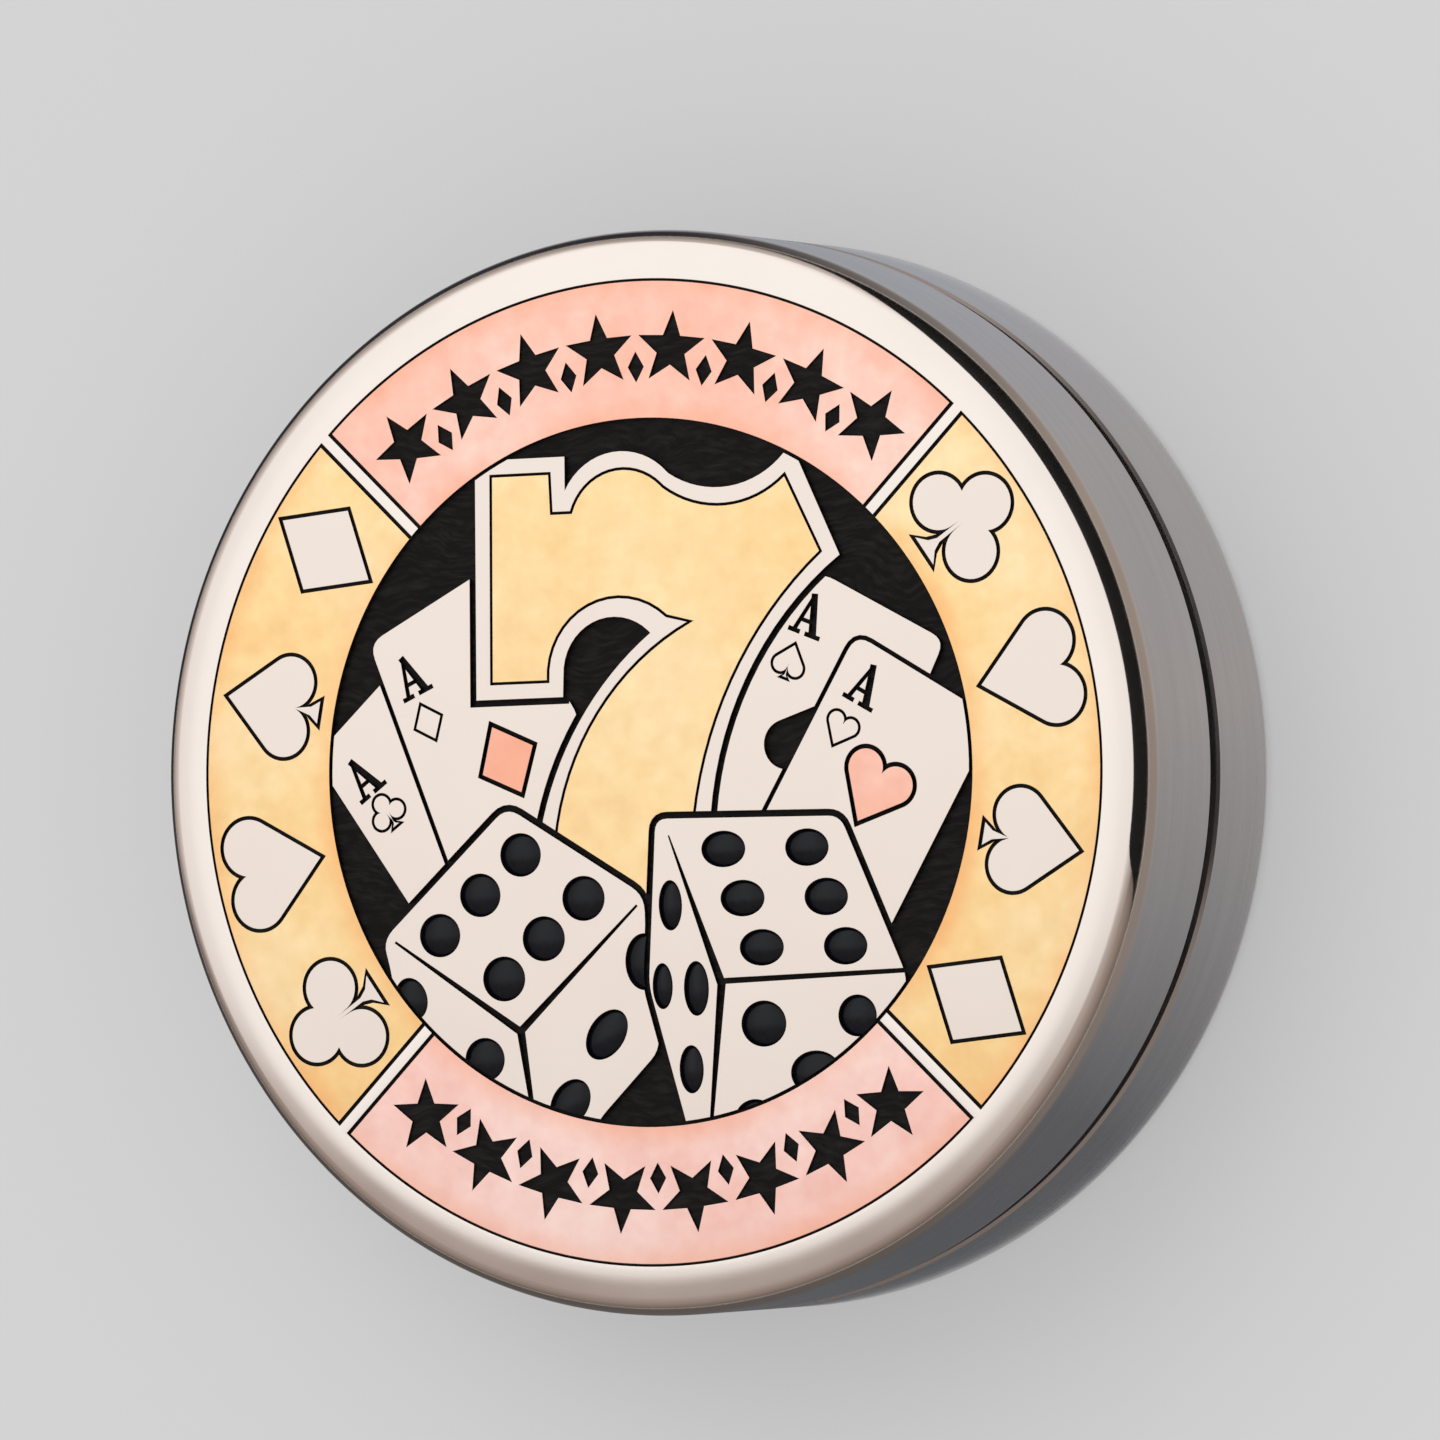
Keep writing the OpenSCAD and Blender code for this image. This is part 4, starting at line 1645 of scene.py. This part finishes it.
RIGHT_BACK_CARD = Outline.of(
    [(3, -3), (5, 8), (9.1, 8.8), (15.1, 5.5), (13.45, 2.2), (8, -3)]
).rounded(0.7)
LEFT_DIE = Outline.of(
    [(-13.75, -7.35), (-7.2, -1.35), (-0.3, -5.65), (-0.3, -9.8), (0.35, -12.7), (-3, -16),
     (-4, -18), (-12, -18), (-13.4, -8.6)]
).rounded(0.75)
RIGHT_DIE = Outline.of(
    [(0.35, -2.15), (9.65, -2.3), (12.75, -9.7), (12.6, -12), (10, -18), (2, -18), (1.6, -16.5),
     (-0.2, -9.8)]
).rounded(0.6)


@dataclass(frozen=True)
class Pip:
    """One spot of a die: where it is, its half widths and its turn in degrees."""

    at: Point
    rx: float
    ry: float
    turn: float = 0


def pip_rows(first: Point, step: Point, rx: float, ry: float) -> list[Pip]:
    """Gives a row of three spots."""
    return [Pip((first[0] + step[0] * i, first[1] + step[1] * i), rx, ry) for i in range(3)]


LEFT_PIPS = [
    *pip_rows((-6.55, -3.6), (-2.12, -1.8), 1.03, 1.0),
    *pip_rows((-3.4, -5.7), (-2.08, -1.8), 1.07, 1.03),
    Pip((-12.35, -10.1), 0.8, 1.0, 20),
    Pip((-8.65, -13), 1.0, 1.0),
    Pip((-2.4, -12), 1.3, 0.88, 50),
    Pip((-4.35, -15.1), 1.2, 0.9, 50),
    Pip((-0.4, -8.7), 0.95, 1.3),
]
RIGHT_PIPS = [
    *pip_rows((3.75, -3.65), (0.9, -2.28), 1.1, 0.83),
    *pip_rows((7.95, -3.7), (0.9, -2.28), 1.08, 0.85),
    Pip((1, -6.15), 0.58, 1.15),
    Pip((0.5, -9.85), 0.5, 1.05),
    Pip((2.2, -10), 0.62, 1.25),
    Pip((1.85, -13.7), 0.6, 1.1),
    Pip((5.55, -11.7), 1.12, 1.05),
    Pip((10.25, -11.45), 0.95, 0.95),
    Pip((8.1, -14), 1.25, 1.0),
    Pip((5, -16), 1.0, 0.85),
]
LEFT_DIE_EDGES = [
    taper((-13.1, -7.45), (-6.8, -11.75), 0.1, 0.35),
    taper((-0.7, -6.1), (-6.8, -11.75), 0.1, 0.35),
    taper((-6.8, -11.55), (-6.25, -15.6), 0.42, 0.2),
]
RIGHT_DIE_EDGES = [
    taper((1, -2.95), (3.45, -9.75), 0.06, 0.42),
    taper((12.7, -9.45), (3.4, -9.7), 0.2, 0.26),
    taper((3.5, -9.6), (2.75, -16.4), 0.42, 0.16),
]
BIG_SPADE = spade_outline().placed((8.3, 1.1), -30, 0.88)
CARD_DIAMOND = Outline.of([(-7.9, 2.5), (-8.5, 0.1), (-6.35, -0.85), (-5.65, 1.5)])


def card_heart(grow: float) -> Outline:
    """Gives the heart on the right-hand front card, moved outwards by grow."""
    scale = 0.68
    return heart_outline(grow / scale).placed((11.3, -1.3), -31, scale)


@dataclass(frozen=True)
class CardCorner:
    """The capital and the small suit in the corner of an ace."""

    at: Point
    turn: float
    suit: Suit
    suit_at: Point
    suit_scale: float = 0.34

    def strokes(self) -> list[Outline]:
        """Gives the strokes of the capital."""
        return ace_strokes(self.at, self.turn)

    def small_suit(self, grow: float) -> Outline:
        """Gives the small suit's outline, moved outwards by grow."""
        outline = SUIT_OUTLINES[self.suit](grow / self.suit_scale)
        return outline.placed(self.suit_at, self.turn, self.suit_scale)


CORNERS = {
    "left_front": CardCorner((-12, 4.8), 24, Suit.DIAMOND, (-11.1, 2.7)),
    "left_back": CardCorner((-14.6, 0.2), 36, Suit.CLUB, (-13.35, -1.4)),
    "right_back": CardCorner((8.35, 6.9), -22, Suit.SPADE, (7.35, 4.85)),
    "right_front": CardCorner((11.05, 3.6), -30, Suit.HEART, (9.76, 1.55), 0.315),
}


@dataclass
class Picture:
    """The sunk picture: a seven, four aces and two dice, each cut from its own plate."""

    finishes: Finishes
    low: float = 14.68
    high: float = 15.0
    radius: float = 16.14
    softening: float = 0.022
    thin_line: float = 0.12
    line: float = 0.2
    wide_line: float = 0.3
    rim_depth: float = 0.035
    pip_sink: float = 0.02
    pip_height: float = 0.26
    pip_overlap: float = 0.01
    pip_inset: float = 0.02

    def cutter(self, outline: Outline) -> bpy.types.Object:
        """Makes a tool that cuts an outline through every plate."""
        return Bench.plate("cutter", [outline], self.low - 1, self.high + 1)

    def island(
        self,
        name: str,
        outline: Outline,
        finish: bpy.types.Material,
        removed: Sequence[Outline] = (),
    ) -> None:
        """Builds, dresses and mounts one plate of the picture.

        Args:
            name: its name.
            outline: its outline.
            finish: the material of its top.
            removed: what is cut out of it: what lies in front of it, and its engraving.
        """
        plate = Bench.plate(name, [outline], self.low, self.high)
        tools = [self.cutter(outline) for outline in removed]
        for tool in tools:
            Bench.cut(plate, tool)
        rim = self.cutter(disc(self.radius))
        Bench.cut(plate, rim, "INTERSECT")
        kept = Bench.top_outlines(plate, self.high)
        Bench.discard([*tools, rim, plate])
        plate = Bench.finish(Bench.plate(name, kept, self.low, self.high, self.softening))
        dress_engraved(plate, self.high - self.rim_depth, finish, self.finishes.etch)
        report(plate, "front")

    def build_dice(self) -> None:
        """Builds the two dice with their spots."""
        in_front = RIGHT_DIE.grown(self.wide_line)
        dice = (
            ("left_die", LEFT_DIE, LEFT_PIPS, LEFT_DIE_EDGES, [in_front]),
            ("right_die", RIGHT_DIE, RIGHT_PIPS, RIGHT_DIE_EDGES, []),
        )
        for name, outline, pips, edges, hidden in dice:
            holes = [oval(pip.at, pip.rx, pip.ry, pip.turn) for pip in pips]
            self.island(name, outline, self.finishes.island, [*edges, *holes, *hidden])
            self.build_pips(f"{name}_spots", outline, pips, hidden)

    def build_pips(
        self, name: str, die: Outline, pips: Sequence[Pip], hidden: Sequence[Outline]
    ) -> None:
        """Builds the domed black spots of one die as one piece.

        Args:
            name: the piece's name.
            die: the die's outline.
            pips: its spots.
            hidden: what lies in front of them.
        """
        Bench.clear_selection()
        bpy.ops.mesh.primitive_uv_sphere_add(segments=40, ring_count=20, radius=1, location=(0, 0, 0))
        dome = bpy.context.object
        bpy.ops.object.mode_set(mode="EDIT")
        bpy.ops.mesh.select_all(action="SELECT")
        bpy.ops.mesh.bisect(
            plane_co=(0, 0, 0), plane_no=(0, 0, 1), use_fill=True, clear_inner=True
        )
        bpy.ops.object.mode_set(mode="OBJECT")
        domes: list[bpy.types.Object] = []
        for pip in pips:
            half_widths = (pip.rx + self.pip_overlap, pip.ry + self.pip_overlap)
            size = Matrix.Diagonal((*half_widths, self.pip_height, 1))
            turn = Matrix.Rotation(math.radians(pip.turn), 4, "Z")
            place = Matrix.Translation((*pip.at, self.low + self.pip_sink))
            domes.append(Bench.copied(dome, place @ turn @ size))
        Bench.discard([dome])
        spots = Bench.joined(domes, name)
        kept = [disc(self.radius), die.grown(-self.pip_inset)]
        cuts = [(outline, "INTERSECT") for outline in kept]
        cuts += [(outline, "DIFFERENCE") for outline in hidden]
        for outline, how in cuts:
            tool = self.cutter(outline)
            Bench.cut(spots, tool, how)
            Bench.discard([tool])
        Bench.finish(spots, 50)
        dress(spots, self.finishes.pip)
        report(spots, "front")

    def build_seven(self, dice: Sequence[Outline]) -> None:
        """Builds the seven: a plain border round a tinted field.

        Args:
            dice: the outlines of the dice, which lie in front of it.
        """
        half = self.thin_line / 2
        hole = SEVEN_FIELD.grown(half)
        self.island("seven_border", SEVEN_BORDER, self.finishes.island, [hole, *dice])
        self.island("seven_field", SEVEN_FIELD.grown(-half), self.finishes.seven_gold, dice)

    def build_card(self, name: str, outline: Outline, removed: Sequence[Outline]) -> None:
        """Builds one ace with the capital and the small suit in its corner.

        Args:
            name: which card it is.
            outline: its outline.
            removed: what lies in front of it and what else is cut from it.
        """
        corner = CORNERS[name]
        half = self.thin_line / 2
        cuts = [*corner.strokes(), corner.small_suit(half), *removed]
        self.island(f"{name}_card", outline, self.finishes.island, cuts)
        self.island(f"{name}_corner_suit", corner.small_suit(-half), self.finishes.island)

    def build(self) -> None:
        """Builds every plate of the picture, front ones first."""
        dice = [RIGHT_DIE.grown(self.wide_line), LEFT_DIE.grown(self.wide_line)]
        in_front = [SEVEN_BORDER.grown(self.wide_line), *dice]
        half = self.line / 2
        cards = (
            ("left_front", LEFT_FRONT_CARD, [CARD_DIAMOND.grown(half)]),
            ("left_back", LEFT_BACK_CARD, [LEFT_FRONT_CARD.grown(self.line)]),
            ("right_front", RIGHT_FRONT_CARD, [card_heart(half)]),
            ("right_back", RIGHT_BACK_CARD, [BIG_SPADE, RIGHT_FRONT_CARD.grown(self.line)]),
        )
        self.build_dice()
        self.build_seven(dice)
        for name, outline, removed in cards:
            self.build_card(name, outline, [*removed, *in_front])
        self.island("card_diamond", CARD_DIAMOND.grown(-half), self.finishes.pink)
        self.island("card_heart", card_heart(-half), self.finishes.pink, dice)


# ---------------------------------------------------------------- the inner parts


@dataclass
class FrameParts:
    """The frame's own nodes; the inner ones are shown as they are."""

    finishes: Finishes

    def dress(self) -> None:
        """Gives every node of the frame the finish of its kind."""
        made = self.finishes
        kinds = (
            (made.hard, "rear_track_plate front_track_plate centre_post"),
            (made.hard, "bearing_inner_ring bearing_outer_ring"),
            (made.screw, "rear_plate_screws rear_ring_screws centre_screw"),
            (made.screw, "front_plate_screws front_ring_screws"),
            (made.brass, "rear_magnet_ring front_magnet_ring"),
            (made.nickel, "rear_magnets front_magnets"),
            (made.ball, "track_balls bearing_balls"),
            (made.cage, "track_cage bearing_cage"),
            (made.shield, "shim_washer bearing_shields"),
            (made.face, "front_shell"),
            (made.wall, "rear_shell"),
        )
        for finish, names in kinds:
            for name in names.split():
                dress(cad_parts[name], finish)
                LOG.info("%s: the frame's own shape, %s", name, finish.name)


# ---------------------------------------------------------------- the studio


# painted reflection: the wall mirrors these from its left round the near side and the right to the
# far side; the dark stretch on the near side is painted shade
NEAR_TONES: Tones = (
    (0.0, (0.3, 0.3, 0.31)),
    (0.2, (0.13, 0.135, 0.14)),
    (0.3, (0.11, 0.115, 0.125)),
    (0.37, (0.13, 0.134, 0.143)),
    (0.45, (0.3, 0.295, 0.3)),
    (0.52, (0.42, 0.4, 0.39)),
    (0.62, (0.43, 0.42, 0.43)),
    (0.7, (0.4, 0.415, 0.455)),
    (1.0, (0.3, 0.3, 0.31)),
)
# painted reflection: the rounded edge mirrors these, in the same order
FAR_TONES: Tones = (
    (0.0, (0.045, 0.045, 0.055)),
    (0.12, (0.1, 0.09, 0.085)),
    (0.3, (0.15, 0.13, 0.12)),
    (0.42, (0.28, 0.245, 0.225)),
    (0.6, (0.4, 0.345, 0.3)),
    (0.7, (0.2, 0.185, 0.18)),
    (0.78, (0.03, 0.03, 0.035)),
    (1.0, (0.03, 0.03, 0.035)),
)


@dataclass(frozen=True)
class AreaLight:
    """One soft light: its name, its place and width in metres, and its power."""

    name: str
    place: tuple[float, float, float]
    width: float
    power: float

    def build(self) -> None:
        """Hangs the light, aimed at the button and kept out of the steel."""
        data = bpy.data.lights.new(self.name, "AREA")
        data.shape = "SQUARE"
        data.size = self.width
        data.energy = self.power
        light = bpy.data.objects.new(self.name, data)
        bpy.context.scene.collection.objects.link(light)
        light.location = self.place
        light.rotation_mode = "QUATERNION"
        light.rotation_quaternion = Vector(self.place).to_track_quat("Z", "Y")
        light.visible_glossy = False
        light.visible_camera = False


@dataclass
class Studio:
    """A pale floor, soft light and the camera; the stage's own sizes are in metres."""

    face_height: float = 15.0
    tilt: float = 24.64
    roll: float = -1.73
    art_turn: float = 3.65
    face_in_view: tuple[float, float, float] = (-3.3617, -2.4015, -564.7345)
    lens: float = 307.2
    sensor: float = 36.0
    clip: Span = (0.01, 20)
    floor_width: float = 6.0
    floor_grey: Colour = (0.48, 0.48, 0.482)
    floor_glow: float = 0.235
    plain_sky: Colour = (0.7, 0.7, 0.7)
    sky_tones: Tones = (
        (0.0, (0.4, 0.34, 0.3)),
        (0.2, (0.42, 0.36, 0.32)),
        (0.36, (0.54, 0.49, 0.46)),
        (0.8, (0.78, 0.69, 0.66)),
        (0.95, (0.93, 0.9, 0.88)),
    )
    south_shade: Colour = (0.52, 0.475, 0.445)
    south_fade: Span = (-0.03, -0.12)
    dark_side: Colour = (0.01, 0.01, 0.01)
    dark_slope: float = 0.27
    dark_across: Span = (0.1, 0.3)
    dark_along: Span = (-0.1, 0.0)
    dark_low: Span = (0.2, 0.28)
    dark_high: Span = (0.85, 0.75)
    softbox_far: float = 0.52
    softbox_half: float = 0.6
    softbox_colour: Colour = (1, 0.99, 0.975)
    softbox_power: float = 1.22
    softbox_sides: Span = (0.04, 0.25)
    softbox_lower: Span = (-0.075, -0.045)
    card_r: float = 0.35
    card_width: float = 0.3245
    card_height: float = 0.0001
    card_far: Span = (0.032, 0.042)
    flag_gap: float = 0.2
    flag_thick: float = 0.02
    flag_inner: float = 24.17
    flag_outer: float = 42.0
    flag_angles: tuple[int, int, int, int] = (-22, -8, 40, 104)
    flag_black: Colour = (0.004, 0.004, 0.004)
    lights: tuple[AreaLight, ...] = (
        AreaLight("key", (-0.1, 0.45, 0.8), 0.7, 1.4),
        AreaLight("fill", (0.5, -0.1, 0.8), 0.8, 1.0),
    )

    def view_turn(self) -> Matrix:
        """Gives the turn from the object's axes to the camera's.

        Returns:
            A rotation matrix.
        """
        roll = Matrix.Rotation(math.radians(self.roll), 3, "Z")
        tilt = Matrix.Rotation(math.radians(-self.tilt), 3, "Y")
        turn = Matrix.Rotation(math.radians(self.art_turn), 3, "Z")
        return roll @ tilt @ turn

    def camera_place(self) -> Vector:
        """Gives the camera's place in millimetres."""
        offset = self.view_turn().transposed() @ -Vector(self.face_in_view)
        return Vector((0, 0, self.face_height)) + offset

    def mirror_way(self) -> Vector:
        """Gives the direction that the flat face mirrors into the camera."""
        to_camera = (self.camera_place() - Vector((0, 0, self.face_height))).normalized()
        return Vector((-to_camera.x, -to_camera.y, to_camera.z))

    def build_camera(self) -> None:
        """Sets up the camera."""
        data = bpy.data.cameras.new("camera")
        data.lens = self.lens
        data.sensor_width = self.sensor
        data.sensor_fit = "HORIZONTAL"
        data.clip_start, data.clip_end = self.clip
        camera = bpy.data.objects.new("camera", data)
        bpy.context.scene.collection.objects.link(camera)
        camera.rotation_mode = "QUATERNION"
        camera.rotation_quaternion = self.view_turn().transposed().to_quaternion()
        camera.location = self.camera_place() * MM
        bpy.context.scene.camera = camera

    def build_floor(self) -> None:
        """Lays a large pale floor."""
        Bench.clear_selection()
        bpy.ops.mesh.primitive_plane_add(size=self.floor_width, location=(0, 0, 0))
        floor = bpy.context.object
        floor.name = "floor"
        bench = NodeBench.material("floor_paper")
        cloud, darker = bench.noise(6, 2, 0.5), shaded(self.floor_grey, 0.985)
        base = bench.ramp(cloud, [(0.3, darker), (0.7, self.floor_grey)])
        paper = bench.surface(
            Base_Color=base,
            Roughness=0.9,
            Specular_IOR_Level=0.0,
            Emission_Color=(1, 1, 1.005, 1),
            Emission_Strength=self.floor_glow,
        )
        dress(floor, paper)

    def build_world(self) -> None:
        """Makes the soft surroundings; steel mirrors them paler overhead than at the horizon."""
        bench = NodeBench.surroundings("surroundings")
        way = bench.add("SeparateXYZ", {"Vector": bench.place})
        across, along, up = (way.outputs[axis] for axis in "XYZ")
        sky = bench.ramp(up, self.sky_tones)
        south = bench.smooth(along, *self.south_fade)
        shaded = bench.blended(south, sky, self.south_shade, "MULTIPLY")
        # a dark side on the upper right, which the seam's lips mirror
        slope = bench.math("ADD", bench.math("MULTIPLY", across, self.dark_slope), along)
        side_across = bench.smooth(across, *self.dark_across)
        side = bench.math("MULTIPLY", side_across, bench.smooth(slope, *self.dark_along))
        belt_low, belt_high = bench.smooth(up, *self.dark_low), bench.smooth(up, *self.dark_high)
        belt = bench.math("MULTIPLY", belt_low, belt_high)
        dark = bench.blended(bench.math("MULTIPLY", side, belt), shaded, self.dark_side)
        mirrored_sky = bench.add("Background", {"Color": dark, "Strength": 1.0})
        plain = bench.add("Background", {"Color": (*self.plain_sky, 1), "Strength": 1.0})
        glossy = bench.add("LightPath").outputs["Is Glossy Ray"]
        bench.closed(bench.mixed(glossy, plain, mirrored_sky))

    @staticmethod
    def show_to_steel(piece: bpy.types.Object, bench: NodeBench, shader: bpy.types.Node) -> None:
        """Dresses a piece of the stage that only steel sees.

        Args:
            piece: the piece.
            bench: its material's nodes.
            shader: the last shader of them.
        """
        dress(piece, bench.closed(shader))
        piece.visible_camera = False
        piece.visible_diffuse = False
        piece.visible_shadow = False

    def build_softbox(self) -> None:
        """Hangs the large softbox that the face mirrors, fading at its sides and lower edge."""
        way = self.mirror_way()
        Bench.clear_selection()
        bpy.ops.mesh.primitive_plane_add(size=2, location=(0, 0, 0))
        box = bpy.context.object
        box.name = "softbox"
        box.data.transform(Matrix.Diagonal((self.softbox_half, self.softbox_half, 1, 1)))
        # local x runs to the right edge, local y to the top edge
        across = Vector((0, 1, 0)).cross(way).normalized()
        turn = Matrix((across, way.cross(across), way)).transposed().to_4x4()
        centre = Vector((0, 0, self.face_height * MM)) + way * self.softbox_far
        box.matrix_world = Matrix.Translation(centre) @ turn
        bench = NodeBench.material("softbox_cloth")
        split = bench.add("SeparateXYZ", {"Vector": bench.place})
        sideways = bench.math("ABSOLUTE", split.outputs["X"])
        middle = bench.math("SUBTRACT", 1.0, bench.smooth(sideways, *self.softbox_sides))
        lower = bench.smooth(split.outputs["Y"], *self.softbox_lower)
        lit = {"Color": (*self.softbox_colour, 1), "Strength": self.softbox_power}
        cloth, clear = bench.add("Emission", lit), bench.add("BsdfTransparent")
        shader = bench.mixed(bench.math("MULTIPLY", middle, lower), clear, cloth)
        self.show_to_steel(box, bench, shader)

    def build_flag(self) -> None:
        """Hangs the thin black flag over the rounded edge, tapering off at both ends."""
        low_tip, low_full, high_full, high_tip = self.flag_angles
        reach = self.flag_outer - self.flag_inner
        points = sweep((0, 0), self.flag_outer, low_tip, high_tip, 120)
        for angle in range(high_tip - 1, low_tip, -1):
            past_high = (angle - high_full) / (high_tip - high_full)
            past_low = (low_full - angle) / (low_full - low_tip)
            taper_off = max(past_high, past_low, 0) ** 3
            points.append(on_ring(self.flag_inner + reach * taper_off, angle))
        low = self.face_height + self.flag_gap
        flag = Bench.plate("black_flag", [Outline.of(points)], low, low + self.flag_thick)
        flag.data.transform(Matrix.Diagonal((MM, MM, MM, 1)))
        flag.visible_transmission = False
        bench = NodeBench.material("black_velvet")
        velvet = {"Color": (*self.flag_black, 1), "Strength": 1.0}
        self.show_to_steel(flag, bench, bench.add("Emission", velvet))

    def build_card(self) -> None:
        """Lays the toned card on the floor, round the foot of the wall that mirrors it; its glowing
        tones are a painted reflection, with painted shade on the near side.
        """
        Bench.clear_selection()
        bpy.ops.mesh.primitive_circle_add(
            vertices=96, radius=self.card_r, fill_type="NGON", location=(0, 0, 0)
        )
        card = bpy.context.object
        card.name = "painted_reflection_card"
        bpy.ops.object.mode_set(mode="EDIT")
        bpy.ops.mesh.select_all(action="SELECT")
        bpy.ops.mesh.inset(thickness=self.card_width, depth=0)
        bpy.ops.mesh.delete(type="FACE")
        bpy.ops.object.mode_set(mode="OBJECT")
        card.data.transform(Matrix.Translation((0, 0, self.card_height)))
        bench = NodeBench.material("painted_reflection_card")
        split = bench.add("SeparateXYZ", {"Vector": bench.place})
        angle = bench.math("ARCTAN2", split.outputs["Y"], split.outputs["X"])
        turn = {"Value": angle, "From Min": -math.pi, "From Max": math.pi}
        share = bench.add("MapRange", turn).outputs["Result"]
        # painted reflection: the near tones give the wall its mirrored light and painted shade, the
        # far ones the rounded edge's
        near, far = bench.ramp(share, NEAR_TONES), bench.ramp(share, FAR_TONES)
        colour = bench.blended(bench.smooth(bench.radius(), *self.card_far), near, far)
        light = bench.add("Emission", {"Color": colour, "Strength": 1.0})
        self.show_to_steel(card, bench, light)

    def build(self) -> None:
        """Builds the whole studio."""
        bpy.context.scene.view_settings.view_transform = "Standard"
        self.build_floor()
        self.build_world()
        self.build_softbox()
        self.build_card()
        self.build_flag()
        for light in self.lights:
            light.build()
        self.build_camera()
        LOG.info("studio ready, camera at %s", tuple(round(v, 4) for v in self.camera_place()))


def main() -> None:
    """Builds the dealer button and its studio."""
    logging.basicConfig(level=logging.INFO, format="%(name)s: %(message)s")
    finishes = Finishes()
    FrameParts(finishes).dress()

    front = FrontShell(finishes)
    shell = front.build()
    front.dress(shell)
    report(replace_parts(shell, "front_shell"), "front")

    rear = RearShell(finishes)
    shell = rear.build()
    rear.dress(shell)
    report(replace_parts(shell, "rear_shell"), "rear")

    FieldRing(finishes).build()
    Picture(finishes).build()
    Studio().build()


if __name__ == "__main__":
    main()
